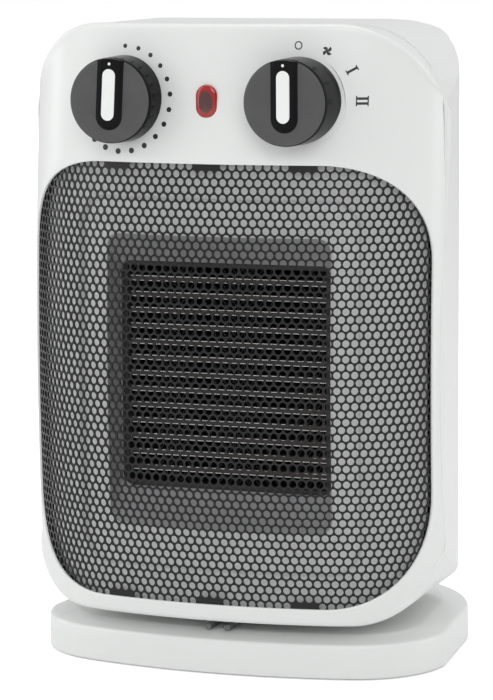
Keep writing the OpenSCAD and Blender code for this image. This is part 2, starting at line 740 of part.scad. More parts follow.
module fan_wheel() {
  hub_r = 14;
  blade_chord = 24;
  color(black) difference() {
    union() {
      ycyl(hub_r, wheel_y0, wheel_y1, 0, core_z);
      intersection() {
        ycyl(fan_d / 2, wheel_y0, wheel_y1, 0, core_z);
        for (i = [0:blade_count - 1])
          translate([0, (wheel_y0 + wheel_y1) / 2, core_z]) rotate([0, i * 360 / blade_count, 0])
            rotate([0, 0, 35]) box(-blade_chord / 2, blade_chord / 2, -0.9, 0.9, hub_r - 3, fan_d / 2 + 4);
      }
    }
    ycyl(shaft_r, wheel_y0 - 1, wheel_y1 + 1, 0, core_z);
    ycyl(hub_r - 2.5, wheel_y0 + 3, wheel_y1 + 1, 0, core_z);
  }
  color(black) difference() {
    ycyl(shaft_r + 2.5, wheel_y0 + 2, wheel_y1, 0, core_z);
    ycyl(shaft_r, wheel_y0 - 1, wheel_y1 + 1, 0, core_z);
  }
}
module fan_nut() {
  color(steel) difference() {
    ycyl(4.5, wheel_y0 - 3, wheel_y0, 0, core_z, $fn = 6);
    ycyl(shaft_r, wheel_y0 - 4, wheel_y0 + 1, 0, core_z);
  }
}

// ---- Head: controls ----
module control_bracket() {
  color(steel) difference() {
    box(-control_hw, control_hw, control_y, control_y + control_t, knob_z - control_hh, knob_z + control_hh);
    both() ycyl(bush_out_r, control_y - 1, control_y + 3, knob_x, knob_z);
    both() ycyl(1.5, control_y - 1, control_y + 3, control_screw_x, knob_z);
    box(-7, 7, control_y - 1, control_y + 3, knob_z - 9, knob_z + 9);
  }
}
module bracket_screws() {
  color(steel) both() mirror([0, 1, 0])
    yscrew(control_screw_x, knob_z, -control_y - control_t - 1.6, -control_y + 5, 1.25, 2.6, 1.6);
}
// A control's housing behind the bracket, with the bush that its spindle turns in.
module control_body(x, w, h, depth) {
  difference() {
    union() {
      box(x - w / 2, x + w / 2, control_y + control_t, control_y + control_t + depth, knob_z - h / 2, knob_z + h / 2);
      ycyl(bush_out_r, control_y - 2, control_y + control_t + eps, x, knob_z);
    }
    ycyl(bush_in_r, control_y - 3, control_y + control_t + 6, x, knob_z);
  }
}
module control_spindle(x) {
  ycyl(spindle_r, knob_face_y + 4, control_y + control_t + 5, x, knob_z);
}
module knob(x) {
  r = knob_d / 2;
  difference() {
    union() {
      translate([x, knob_back_y, knob_z]) rotate([90, 0, 0])
        cylinder(r1 = r + 0.4, r2 = r, h = knob_back_y - knob_face_y - knob_face_t);
      translate([x, 0, knob_z]) intersection() {
        ycyl(r, knob_face_y, knob_face_y + 3);
        yprism(knob_face_y, knob_face_y + 3) translate([0, r - 13.5]) stadium(pointer_w, 27);
      }
    }
    ycyl(spindle_r, knob_face_y + 4, knob_back_y + 1, x, knob_z);
    difference() {
      ycyl(r - 2.4, knob_face_y + 5, knob_back_y + 1, x, knob_z);
      ycyl(spindle_r + 2.5, knob_face_y + 5, knob_back_y + 1, x, knob_z);
    }
    translate([x, 0, knob_z]) yprism(knob_face_y - 1, knob_face_y + 1)
      translate([0, pointer_mid]) stadium(insert_w, insert_l);
  }
}
module pointer(x) {
  translate([x, 0, knob_z]) yprism(knob_face_y, knob_face_y + 1)
    translate([0, pointer_mid]) stadium(insert_w, insert_l);
}
module thermostat_body() { color("#3b3b3e") control_body(-knob_x, 26, 24, thermo_depth); }
module thermostat_spindle() { color(steel) control_spindle(-knob_x); }
module turned(x, angle) {
  translate([x, 0, knob_z]) rotate([0, angle, 0]) translate([0, 0, -knob_z]) children();
}
module thermostat_knob() { color(black) turned(-knob_x, thermostat_turn) knob(0); }
module thermostat_pointer() { color(white) turned(-knob_x, thermostat_turn) pointer(0); }
module switch_body() { color("#3b3b3e") control_body(knob_x, 28, 22, switch_depth); }
module switch_spindle() { color(steel) control_spindle(knob_x); }
module function_knob() { color(black) knob(knob_x); }
module function_pointer() { color(white) pointer(knob_x); }
module pilot_lens() {
  color("#c2362a") translate([0, 0, knob_z]) {
    yprism(lens_y - 1, lens_y + 4) stadium(lens_w, lens_h);
    yprism(lens_y + wall + 1.5, lens_y + 5) stadium(lens_w + 3, lens_h + 3);
  }
}
module pilot_lamp() {
  color("#e2b080") {
    ycyl(3, lens_y + 5, control_y + 6, 0, knob_z);
    translate([0, control_y + 5.9, knob_z - 4]) box(-2.5, 2.5, 0, 6, 0, 8);
  }
}

// ---- Head: swing drive and wiring ----
module swing_motor() {
  color("#b9bcc0") difference() {
    union() {
      translate([0, swing_y, inner_z0 + seam_step]) cylinder(r = swing_r, h = swing_h);
      translate([0, swing_y, inner_z0]) cylinder(r = 7, h = 1);
      translate([0, swing_y, body_z0 + 0.2]) cylinder(r = 5.2, h = wall);
    }
    translate([0, swing_y, body_z0 - 1]) cylinder(r = 3 + run_gap, h = wall + 9);
  }
}
module swing_crank() {
  color(black) translate([0, swing_y, 0]) {
    translate([0, 0, crank_z0]) cylinder(r = 3, h = inner_z0 + 6 - crank_z0);
    translate([0, 0, crank_z0]) cylinder(r = 5.5, h = crank_z1 - crank_z0);
    box(0, crank_throw, -2.4, 2.4, crank_z0, crank_z1);
    translate([crank_throw, 0, pin_z0]) cylinder(r = 2.4, h = crank_z1 - pin_z0);
  }
}
module swing_switch_body() {
  color(black) difference() {
    union() {
      box(-9.5, 9.5, rocker_y - 14, rear_reach + 1, rocker_z - 6.5, rocker_z + 6.5);
      box(-10.8, 10.8, rear_reach + 0.05, rear_reach + 1.5, rocker_z - 7.8, rocker_z + 7.8);
    }
    box(-7.6, 7.6, rocker_y - 8, rocker_y + 3, rocker_z - 5.2, rocker_z + 5.2);
    translate([0, rocker_y - 3, rocker_z]) rotate([0, 90, 0]) cylinder(r = 1.1, h = 17.4, center = true);
  }
}
module swing_rocker() {
  color("#2a2a2c") translate([0, rocker_y - 3, rocker_z]) rotate([rocker_tilt, 0, 0]) {
    rotate([0, 90, 0]) cylinder(r = 1.04, h = 17, center = true);
    rotate([90, 0, 90]) translate([0, 0, -7.2]) linear_extrude(14.4)
      polygon([[-1.8, -1.5], [-1.8, 1.5], [3.9, 4.3], [3.3, 0], [3.9, -4.3]]);
  }
}
module terminal_block() {
  color("#e6e0cf") difference() {
    box(block_x[0] - 4, block_x[2] + 4, -6, 8, inner_z0 + seam_step, inner_z0 + 10);
    for (x = block_x) translate([x, 1, inner_z0 + 5]) cylinder(r = 1.6, h = 10);
  }
}
// A lead: short straight lengths with round joints.
module lead(points) {
  lead_r = 1.1;
  for (i = [0:len(points) - 2]) hull() {
    translate(points[i]) sphere(r = lead_r, $fn = 8);
    translate(points[i + 1]) sphere(r = lead_r, $fn = 8);
  }
}
module wiring() {
  block_z = inner_z0 + 11.3;
  term_x = core_hw + core_rim + 9.3;
  switch_back = control_y + control_t + switch_depth + 1.3;
  thermo_back = control_y + control_t + thermo_depth + 1.3;
  color("#a8201a") {
    lead([[block_x[0], 1, block_z], [44, -8, 46], [60, -18, 60], [term_x + 4, core_y1 - 4, core_z - 30], [term_x, core_y1 - 4, core_z - 24]]);
    lead([[block_x[1], 1, block_z], [54, -6, 46], [66, -16, 70], [term_x + 8, core_y1 - 2, core_z - 6], [term_x, core_y1 - 4, core_z]]);
    lead([[block_x[2], 1, block_z], [64, 2, 60], [70, -14, 100], [66, -18, 150], [52, -22, 200],
      [knob_x + 8, switch_back, knob_z - 6]]);
    lead([[-knob_x, thermo_back, knob_z - 6], [-20, switch_back + 1, knob_z - 13],
      [10, switch_back + 2, knob_z - 13], [knob_x - 8, switch_back, knob_z - 6]]);
  }
}

base_cover();
base_plate();
rubber_feet();
base_screws();
swivel_washer();
crank_track();
tip_switch();
tip_plunger();
cord_gland();
cord_clamp();
clamp_screws();
swivel_post();
swivel_retainer();
post_screws();
front_frame();
front_grille();
air_duct();
heater_frame();
ceramic_bars();
contact_plates();
heater_fins();
heater_terminals();
thermal_cutout();
thermal_fuse();
fan_duct();
motor_brackets();
motor_screws();
motor_bearings();
stator_core();
motor_coil();
motor_rotor();
fan_shaft();
fan_wheel();
fan_nut();
rear_shell();
rear_grille();
dust_filter();
control_bracket();
bracket_screws();
thermostat_body();
thermostat_spindle();
thermostat_knob();
thermostat_pointer();
switch_body();
switch_spindle();
function_knob();
function_pointer();
pilot_lens();
pilot_lamp();
swing_motor();
swing_crank();
swing_switch_body();
swing_rocker();
terminal_block();
wiring();
housing_screws();
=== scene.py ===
"""Ceramic space heater: the looks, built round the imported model.

Lengths in the classes are millimetres and angles are degrees, as a maker would write them; MM turns
them into metres. The front casing, grille, baffle, knobs, lens and base shell stand for the plain CAD
ones. The rear casing and the inner parts keep their CAD shapes and get their finishes here.
"""

from __future__ import annotations

import json
import logging
import math
from dataclasses import dataclass, field
from enum import Enum
from typing import Sequence

import bmesh
import bpy
import numpy as np
from mathutils import Matrix, Vector

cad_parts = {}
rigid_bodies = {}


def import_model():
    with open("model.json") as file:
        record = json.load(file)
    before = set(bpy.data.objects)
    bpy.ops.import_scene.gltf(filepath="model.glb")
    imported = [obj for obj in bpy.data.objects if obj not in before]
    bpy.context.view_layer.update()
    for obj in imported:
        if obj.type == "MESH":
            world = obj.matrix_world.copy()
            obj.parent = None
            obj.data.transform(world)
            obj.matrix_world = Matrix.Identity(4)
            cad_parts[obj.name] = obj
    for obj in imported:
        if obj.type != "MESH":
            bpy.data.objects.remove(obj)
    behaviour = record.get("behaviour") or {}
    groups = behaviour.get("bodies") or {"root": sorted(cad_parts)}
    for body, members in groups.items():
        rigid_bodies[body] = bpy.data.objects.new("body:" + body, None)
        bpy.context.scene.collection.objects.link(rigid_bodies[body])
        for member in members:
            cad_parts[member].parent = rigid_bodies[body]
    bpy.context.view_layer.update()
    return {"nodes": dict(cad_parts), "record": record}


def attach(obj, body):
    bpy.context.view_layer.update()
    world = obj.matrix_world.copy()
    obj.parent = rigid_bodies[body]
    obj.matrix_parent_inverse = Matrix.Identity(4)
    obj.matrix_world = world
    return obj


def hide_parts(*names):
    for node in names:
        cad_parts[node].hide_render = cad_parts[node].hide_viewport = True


MM = 0.001
LOG = logging.getLogger("heater")

for leftover in list(bpy.data.objects):
    bpy.data.objects.remove(leftover)
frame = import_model()


class Body(Enum):
    """The rigid bodies that pieces ride on."""

    BASE = "base"
    HEAD = "head"
    THERMOSTAT = "thermostat"
    FUNCTION = "function"


class Slot(Enum):
    """The record's material slots that new pieces name."""

    CASING = "white_casing"
    PLASTIC = "white_plastic"
    GRILLE = "grille_black"
    KNOB = "knob_black"
    POINTER = "pointer_white"
    LENS = "lens_red"
    PRINT = "frame_black"


# ---------------------------------------------------------------- shader groups


class GrainGroup:
    """A shader node group: fine moulded grain, a soft blotchy tint and a slow sheen change.

    Inputs are Scale, Fine and Blotch. Outputs are Height for a bump, Tint for colour and Sheen for
    roughness, each about 0.5 in the middle.
    """

    NAME = "moulded_grain"

    def tree(self) -> bpy.types.ShaderNodeTree:
        """Builds the group once.

        Returns:
            The group's node tree.
        """
        if self.NAME in bpy.data.node_groups:
            return bpy.data.node_groups[self.NAME]
        group = bpy.data.node_groups.new(self.NAME, "ShaderNodeTree")
        for name, value in (("Scale", 900.0), ("Fine", 1.0), ("Blotch", 30.0)):
            socket = group.interface.new_socket(name, in_out="INPUT", socket_type="NodeSocketFloat")
            socket.default_value = value
        for name in ("Height", "Tint", "Sheen"):
            group.interface.new_socket(name, in_out="OUTPUT", socket_type="NodeSocketFloat")
        nodes, links = group.nodes, group.links
        source = nodes.new("NodeGroupInput")
        sink = nodes.new("NodeGroupOutput")
        place = nodes.new("ShaderNodeTexCoord")
        fine = nodes.new("ShaderNodeTexNoise")
        fine.inputs["Detail"].default_value = 3.0
        cells = nodes.new("ShaderNodeTexVoronoi")
        blotch = nodes.new("ShaderNodeTexNoise")
        blotch.inputs["Detail"].default_value = 4.0
        blotch.inputs["Roughness"].default_value = 0.6
        slow = nodes.new("ShaderNodeTexNoise")
        slow.inputs["Scale"].default_value = 9.0
        for texture in (fine, cells, blotch, slow):
            links.new(place.outputs["Object"], texture.inputs["Vector"])
        links.new(source.outputs["Scale"], fine.inputs["Scale"])
        links.new(source.outputs["Scale"], cells.inputs["Scale"])
        links.new(source.outputs["Blotch"], blotch.inputs["Scale"])
        both = nodes.new("ShaderNodeMath")
        both.operation = "MULTIPLY_ADD"
        links.new(fine.outputs["Fac"], both.inputs[0])
        links.new(source.outputs["Fine"], both.inputs[1])
        links.new(cells.outputs["Distance"], both.inputs[2])
        links.new(both.outputs[0], sink.inputs["Height"])
        links.new(blotch.outputs["Fac"], sink.inputs["Tint"])
        links.new(slow.outputs["Fac"], sink.inputs["Sheen"])
        return group


# ---------------------------------------------------------------- finishes


@dataclass(frozen=True)
class Finish:
    """A finish made from a main colour, a tint, grain and a sheen range.

    Attributes:
        name: the material's name.
        colour: main colour, linear.
        tint: colour of the blotches, linear.
        roughness: lowest and highest roughness.
        grain: grain frequency per metre, bump depth in millimetres.
        blotch: blotch frequency per metre.
        metallic: 1 for bare metal.
        coat: clear gloss over the colour.
        specular: strength of the surface's own reflection.
    """

    name: str
    colour: tuple[float, float, float]
    tint: tuple[float, float, float]
    roughness: tuple[float, float] = (0.35, 0.45)
    grain: tuple[float, float] = (1500.0, 0.01)
    blotch: float = 40.0
    metallic: float = 0.0
    coat: float = 0.0
    specular: float = 0.5

    @property
    def title(self) -> str:
        """The material's own name, apart from the CAD model's."""
        return f"{self.name}_finish"

    def start(self) -> tuple[bpy.types.Material, bpy.types.NodeTree, bpy.types.Node, bpy.types.Node]:
        """Makes the material with its grain group wired to colour, roughness and normal.

        Returns:
            The material, its node tree, the Principled node and the node that gives the colour.
        """
        material = bpy.data.materials.new(self.title)
        material.use_nodes = True
        tree = material.node_tree
        shader = tree.nodes["Principled BSDF"]
        shader.inputs["Metallic"].default_value = self.metallic
        shader.inputs["Specular IOR Level"].default_value = self.specular
        shader.inputs["Coat Weight"].default_value = self.coat
        shader.inputs["Coat Roughness"].default_value = 0.08
        grain = tree.nodes.new("ShaderNodeGroup")
        grain.node_tree = GrainGroup().tree()
        grain.inputs["Scale"].default_value = self.grain[0]
        grain.inputs["Blotch"].default_value = self.blotch
        mix = tree.nodes.new("ShaderNodeMix")
        mix.data_type = "RGBA"
        mix.inputs["A"].default_value = (*self.colour, 1.0)
        mix.inputs["B"].default_value = (*self.tint, 1.0)
        tree.links.new(grain.outputs["Tint"], mix.inputs["Factor"])
        tree.links.new(mix.outputs["Result"], shader.inputs["Base Color"])
        sheen = tree.nodes.new("ShaderNodeMapRange")
        sheen.inputs["From Min"].default_value = 0.3
        sheen.inputs["From Max"].default_value = 0.7
        sheen.inputs["To Min"].default_value = self.roughness[0]
        sheen.inputs["To Max"].default_value = self.roughness[1]
        tree.links.new(grain.outputs["Sheen"], sheen.inputs["Value"])
        tree.links.new(sheen.outputs["Result"], shader.inputs["Roughness"])
        bump = tree.nodes.new("ShaderNodeBump")
        bump.inputs["Distance"].default_value = self.grain[1] * MM
        bump.inputs["Strength"].default_value = 0.6
        tree.links.new(grain.outputs["Height"], bump.inputs["Height"])
        tree.links.new(bump.outputs["Normal"], shader.inputs["Normal"])
        return material, tree, shader, mix

    def material(self) -> bpy.types.Material:
        """Returns the material, made once."""
        return bpy.data.materials.get(self.title) or self.start()[0]


@dataclass(frozen=True)
class Banded(Finish):
    """A finish with fine parallel bands, as on a wound coil, stacked sheets or brushed metal.

    Attributes:
        band_axis: the axis across the bands.
        band_scale: bands per metre, roughly.
        band_colour: the colour between the bands.
    """

    band_axis: str = "X"
    band_scale: float = 600.0
    band_colour: tuple[float, float, float] = (0.05, 0.05, 0.05)

    def material(self) -> bpy.types.Material:
        """Returns the material, made once."""
        if self.title in bpy.data.materials:
            return bpy.data.materials[self.title]
        material, tree, shader, colour = self.start()
        place = tree.nodes.new("ShaderNodeTexCoord")
        wave = tree.nodes.new("ShaderNodeTexWave")
        wave.bands_direction = self.band_axis
        wave.inputs["Scale"].default_value = self.band_scale
        wave.inputs["Distortion"].default_value = 0.4
        tree.links.new(place.outputs["Object"], wave.inputs["Vector"])
        mix = tree.nodes.new("ShaderNodeMix")
        mix.data_type = "RGBA"
        mix.inputs["B"].default_value = (*self.band_colour, 1.0)
        tree.links.new(colour.outputs["Result"], mix.inputs["A"])
        tree.links.new(wave.outputs["Fac"], mix.inputs["Factor"])
        tree.links.new(mix.outputs["Result"], shader.inputs["Base Color"])
        return material


@dataclass(frozen=True)
class LensPaintedShade(Finish):
    """Red translucent plastic with painted shade in the middle: where the lamp stands behind it the red is
    painted duller and darker, as the lamp and its shade seen through the lens.

    Attributes:
        centre: the lens's middle, in millimetres.
        core: the painted shade colour seen through the middle, duller and darker than the red.
        reach: half width and half height over which the middle fades, in millimetres.
    """

    centre: tuple[float, float, float] = (0.0, 0.0, 0.0)
    core: tuple[float, float, float] = (0.085, 0.030, 0.028)
    reach: tuple[float, float] = (3.3, 5.0)

    def material(self) -> bpy.types.Material:
        """Returns the material, made once."""
        if self.title in bpy.data.materials:
            return bpy.data.materials[self.title]
        material, tree, shader, colour = self.start()
        place = tree.nodes.new("ShaderNodeTexCoord")
        fit = tree.nodes.new("ShaderNodeMapping")
        sizes = (self.reach[0], 1000.0, self.reach[1])
        fit.inputs["Scale"].default_value = [1.0 / (s * MM) for s in sizes]
        fit.inputs["Location"].default_value = [-c / s for c, s in zip(self.centre, sizes)]
        span = tree.nodes.new("ShaderNodeVectorMath")
        span.operation = "LENGTH"
        fade = tree.nodes.new("ShaderNodeMapRange")
        fade.interpolation_type = "SMOOTHSTEP"
        fade.inputs["From Min"].default_value = 0.72
        fade.inputs["From Max"].default_value = 1.0
        mix = tree.nodes.new("ShaderNodeMix")
        mix.data_type = "RGBA"
        # Painted shade: the middle takes the darker, duller core colour as the lamp seen through the lens.
        mix.inputs["A"].default_value = (*self.core, 1.0)
        tree.links.new(place.outputs["Object"], fit.inputs["Vector"])
        tree.links.new(fit.outputs["Vector"], span.inputs[0])
        tree.links.new(span.outputs["Value"], fade.inputs["Value"])
        tree.links.new(fade.outputs["Result"], mix.inputs["Factor"])
        tree.links.new(colour.outputs["Result"], mix.inputs["B"])
        tree.links.new(mix.outputs["Result"], shader.inputs["Base Color"])
        shader.inputs["Subsurface Weight"].default_value = 0.2
        shader.inputs["Subsurface Scale"].default_value = 2.0 * MM
        return material


CASING = Finish("casing_white", (0.75, 0.765, 0.755), (0.79, 0.80, 0.79), (0.26, 0.34), (2600.0,
    0.004), 24.0)
SOFT_WHITE = Finish("inner_white", (0.88, 0.885, 0.89), (0.92, 0.925, 0.93), (0.45, 0.6), (1400.0,
    0.01), 30.0)
GRILLE_BLACK = Finish("grille_black", (0.010, 0.010, 0.011), (0.018, 0.018, 0.019), (0.28, 0.38),
    (5000.0, 0.004), 60.0,
    specular=0.3)
FRAME_BLACK = Finish("frame_black", (0.02, 0.02, 0.021), (0.035, 0.035, 0.036), (0.4, 0.55), (2500.0,
    0.01), 60.0)
KNOB_FACE = Finish("knob_face", (0.050, 0.050, 0.052), (0.085, 0.085, 0.088), (0.42, 0.52), (6000.0,
    0.012), 120.0)
KNOB_GLOSS = Finish("knob_gloss", (0.008, 0.008, 0.009), (0.015, 0.015, 0.016), (0.14, 0.22), (3000.0,
    0.002), 80.0,
    specular=0.03)
# Painted shade: the baffle's white plastic darkened to grey in its deep throat, where shade falls.
THROAT_PAINTED_SHADE = Finish("throat_painted_shade", (0.42, 0.42, 0.43), (0.50, 0.50, 0.51), (0.5, 0.65), (1400.0, 0.01), 30.0)
# Painted shade: the crank track's rails darkened to grey so they read as the shadowed gap under the head.
TRACK_PAINTED_SHADE = Finish("track_painted_shade", (0.16, 0.16, 0.16), (0.2, 0.2, 0.2), (0.45, 0.6), (1400.0, 0.01), 60.0)
POINTER = Finish("pointer_white", (0.80, 0.82, 0.80), (0.86, 0.87, 0.86), (0.25, 0.33), (3000.0,
    0.003), 200.0)
PRINT = Finish("printed_black", (0.014, 0.014, 0.015), (0.028, 0.028, 0.03), (0.4, 0.5), (4000.0,
    0.002), 300.0)
STEEL = Finish("zinc_steel", (0.52, 0.53, 0.54), (0.42, 0.43, 0.45), (0.28, 0.42), (1800.0, 0.006),
    90.0, metallic=1.0)
ALUMINIUM = Finish("contact_aluminium", (0.86, 0.87, 0.88), (0.7, 0.71, 0.73), (0.25, 0.4), (2500.0,
    0.01), 220.0, metallic=1.0)
FIN_METAL = Finish("fin_metal", (0.035, 0.035, 0.036), (0.02, 0.02, 0.021), (0.4, 0.6), (2500.0,
    0.01), 260.0, metallic=0.4)
CERAMIC = Finish("ceramic_brown", (0.035, 0.027, 0.022), (0.11, 0.075, 0.055), (0.6, 0.75), (2500.0,
    0.02), 160.0)
BRONZE = Finish("bearing_bronze", (0.42, 0.28, 0.12), (0.3, 0.2, 0.1), (0.3, 0.45), (2500.0, 0.01),
    160.0, metallic=1.0)
RUBBER = Finish("foot_rubber", (0.02, 0.02, 0.02), (0.035, 0.035, 0.034), (0.65, 0.85), (1800.0,
    0.03), 90.0)
FILTER = Finish("filter_grey", (0.06, 0.06, 0.062), (0.16, 0.16, 0.16), (0.8, 0.95), (1200.0, 0.2), 500.0)
LEAD = Finish("lead_red", (0.35, 0.02, 0.015), (0.45, 0.04, 0.03), (0.35, 0.5), (1800.0, 0.01), 90.0)
CREAM = Finish("insulator_cream", (0.62, 0.57, 0.45), (0.7, 0.66, 0.55), (0.4, 0.55), (1800.0, 0.01), 90.0)
NYLON = Finish("washer_nylon", (0.6, 0.58, 0.5), (0.68, 0.66, 0.58), (0.4, 0.5), (1800.0, 0.008), 90.0)
AMBER = Finish("lamp_amber", (0.75, 0.42, 0.25), (0.8, 0.5, 0.32), (0.08, 0.15), (1800.0, 0.002),
    90.0, coat=0.5)
COPPER = Banded("winding_copper", (0.45, 0.15, 0.05), (0.35, 0.11, 0.04), (0.2, 0.3), metallic=0.8,
    band_axis="Z", band_scale=420.0, band_colour=(0.12, 0.03, 0.01))
LAMINATION = Banded("lamination", (0.3, 0.31, 0.33), (0.2, 0.2, 0.22), (0.35, 0.5), metallic=1.0,
    band_axis="Y", band_scale=300.0, band_colour=(0.08, 0.08, 0.09))

CAD_FINISHES: dict[str, Finish] = {
    "white_casing": CASING,
    "white_plastic": SOFT_WHITE,
    "grille_black": GRILLE_BLACK,
    "frame_black": FRAME_BLACK,
    "knob_black": KNOB_GLOSS,
    "pointer_white": POINTER,
    "lens_red": KNOB_GLOSS,
    "lamp_amber": AMBER,
    "zinc_steel": STEEL,
    "lamination": LAMINATION,
    "contact_aluminium": ALUMINIUM,
    "fin_metal": FIN_METAL,
    "ceramic_brown": CERAMIC,
    "bearing_bronze": BRONZE,
    "winding_copper": COPPER,
    "foot_rubber": RUBBER,
    "filter_grey": FILTER,
    "lead_red": LEAD,
    "insulator_cream": CREAM,
    "washer_nylon": NYLON,
}


# ---------------------------------------------------------------- mesh helpers


def make_piece(name: str, points: np.ndarray, faces: Sequence[Sequence[int]], finishes: Sequence[Finish],
               sharp: float = 32.0) -> bpy.types.Object:
    """Makes a mesh object from points in millimetres.

    Args:
        name: the piece's name.
        points: an N by 3 array, in millimetres.
        faces: corner indices of each face.
        finishes: the piece's finishes, in material slot order.
        sharp: edges that fold more than this many degrees stay crisp.

    Returns:
        The new object, linked to the scene.
    """
    mesh = bpy.data.meshes.new(name)
    mesh.from_pydata((np.asarray(points) * MM).tolist(), [], [list(f) for f in faces])
    mesh.validate()
    for finish in finishes:
        mesh.materials.append(finish.material())
    mesh.shade_smooth()
    mesh.set_sharp_from_angle(angle=math.radians(sharp))
    piece = bpy.data.objects.new(name, mesh)
    bpy.context.scene.collection.objects.link(piece)
    return piece


def face_outwards(mesh: bpy.types.Mesh) -> None:
    """Turns all faces of a closed mesh outwards."""
    work = bmesh.new()
    work.from_mesh(mesh)
    bmesh.ops.recalc_face_normals(work, faces=work.faces)
    work.to_mesh(mesh)
    work.free()


def rings_mesh(rings: Sequence[np.ndarray], loop: bool = False) -> tuple[np.ndarray, list[tuple[int, ...]]]:
    """Joins closed rings of equal length into a band of quads.

    Args:
        rings: arrays of N by 3 points.
        loop: whether the last ring joins the first.

    Returns:
        The points and the faces.
    """
    count = len(rings[0])
    faces = []
    spans = len(rings) if loop else len(rings) - 1
    for r in range(spans):
        low, high = r * count, ((r + 1) % len(rings)) * count
        for i in range(count):
            j = (i + 1) % count
            faces.append((low + i, low + j, high + j, high + i))
    return np.vstack(rings), faces


def cap(faces: list[tuple[int, ...]], ring_start: int, count: int, flip: bool = False) -> None:
    """Closes a ring with one face.

    Args:
        faces: the list to add to.
        ring_start: the ring's first point.
        count: the ring's length.
        flip: whether the face looks the other way.
    """
    ring = range(ring_start, ring_start + count)
    faces.append(tuple(reversed(ring)) if flip else tuple(ring))


def merge(parts: Sequence[tuple[np.ndarray, list[tuple[int, ...]]]]) -> tuple[np.ndarray,
    list[tuple[int, ...]]]:
    """Puts several meshes into one.

    Args:
        parts: points and faces of each.

    Returns:
        The joined points and faces.
    """
    points, faces, start = [], [], 0
    for part_points, part_faces in parts:
        points.append(part_points)
        faces.extend(tuple(i + start for i in face) for face in part_faces)
        start += len(part_points)
    return np.vstack(points), faces


def cut(piece: bpy.types.Object, cutters: Sequence[bpy.types.Object]) -> None:
    """Cuts holes in a piece and removes the cutters.

    Args:
        piece: the piece to cut.
        cutters: closed solids.
    """
    for cutter in cutters:
        hole = piece.modifiers.new("hole", "BOOLEAN")
        hole.operation = "DIFFERENCE"
        hole.solver = "EXACT"
        hole.object = cutter
    graph = bpy.context.evaluated_depsgraph_get()
    shaped = bpy.data.meshes.new_from_object(piece.evaluated_get(graph))
    piece.modifiers.clear()
    face_outwards(shaped)
    shaped.set_sharp_from_angle(angle=math.radians(32.0))
    piece.data = shaped
    for cutter in cutters:
        bpy.data.objects.remove(cutter)


def circle_xz(radius: float, count: int = 72) -> np.ndarray:
    """Points of a circle in X and Z, as an N by 2 array."""
    turn = np.linspace(0.0, 2.0 * math.pi, count, endpoint=False)
    return np.column_stack([radius * np.sin(turn), radius * np.cos(turn)])


def stadium_xz(width: float, height: float, grow: float = 0.0, count: int = 20) -> np.ndarray:
    """Points of an upright slot shape with round ends, grown outwards, as an N by 2 array."""
    radius, reach = width / 2 + grow, (height - width) / 2
    top = np.linspace(-math.pi / 2, math.pi / 2, count)
    upper = np.column_stack([radius * np.sin(top), reach + radius * np.cos(top)])
    return np.vstack([upper, -upper])


def prism_y(outline: np.ndarray, centre: tuple[float, float], low: float,
    high: float) -> tuple[np.ndarray, list[tuple[int, ...]]]:
    """A closed prism along Y from an outline in X and Z.

    Args:
        outline: N by 2 points, clockwise seen from the front.
        centre: where the outline's origin goes, in X and Z.
        low: the front end's Y.
        high: the back end's Y.

    Returns:
        Points and faces.
    """
    rings = [np.column_stack([outline[:, 0] + centre[0], np.full(len(outline), y), outline[:,
        1] + centre[1]])
             for y in (low, high)]
    points, faces = rings_mesh(rings)
    cap(faces, 0, len(outline), flip=True)
    cap(faces, len(outline), len(outline))
    return points, [tuple(reversed(face)) for face in faces]


def mount(piece: bpy.types.Object, body: Body, slot: Slot, *nodes: str) -> bpy.types.Object:
    """Puts a piece on its body and hides the CAD nodes that it stands for.

    Args:
        piece: the new piece.
        body: the body it moves with.
        slot: the record's slot; not used.
        *nodes: CAD nodes that it replaces.

    Returns:
        The piece.
    """
    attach(piece, body.value)
    if nodes:
        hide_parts(*nodes)
    LOG.info("built %s", piece.name)
    return piece


# ---------------------------------------------------------------- the head's shape


@dataclass(frozen=True)
class Outline:
    """A rounded rectangle with its own corner reach at the top and at the bottom, symmetric in X.

    Attributes:
        half: half width.
        low: lowest height.
        high: highest height.
        low_corner: how far a lower corner reaches in from the side and up from the bottom.
        high_corner: how far an upper corner reaches in from the side and down from the top.
    """

    half: float
    low: float
    high: float
    low_corner: tuple[float, float]
    high_corner: tuple[float, float]
    flat_steps: int = 12
    corner_steps: int = 16
    side_steps: int = 30

    def ring(self, grow: float = 0.0) -> np.ndarray:
        """Points round the outline from the bottom's middle, grown outwards.

        Args:
            grow: how far outside the outline the points lie; negative is inside.

        Returns:
            An N by 2 array.
        """
        half, low, high = self.half + grow, self.low - grow, self.high + grow
        la, lb = self.low_corner[0] + grow, self.low_corner[1] + grow
        ha, hb = self.high_corner[0] + grow, self.high_corner[1] + grow
        bottom = [(x, low) for x in np.linspace(0, half - la, self.flat_steps, endpoint=False)]
        turn = np.linspace(0, math.pi / 2, self.corner_steps, endpoint=False)
        lower = [(half - la + la * math.sin(t), low + lb - lb * math.cos(t)) for t in turn]
        side = [(half, z) for z in np.linspace(low + lb, high - hb, self.side_steps, endpoint=False)]
        upper = [(half - ha + ha * math.cos(t), high - hb + hb * math.sin(t)) for t in turn]
        top = [(x, high) for x in np.linspace(half - ha, 0, self.flat_steps)]
        right = np.array(bottom + lower + side + upper + top)
        left = right[-2:0:-1] * (-1, 1)
        return np.vstack([right, left])

    def outward(self) -> np.ndarray:
        """Unit vectors out of the outline at each of its points."""
        ring = self.ring()
        along = np.roll(ring, -1, axis=0) - np.roll(ring, 1, axis=0)
        along /= np.linalg.norm(along, axis=1)[:, None]
        return np.column_stack([along[:, 1], -along[:, 0]])


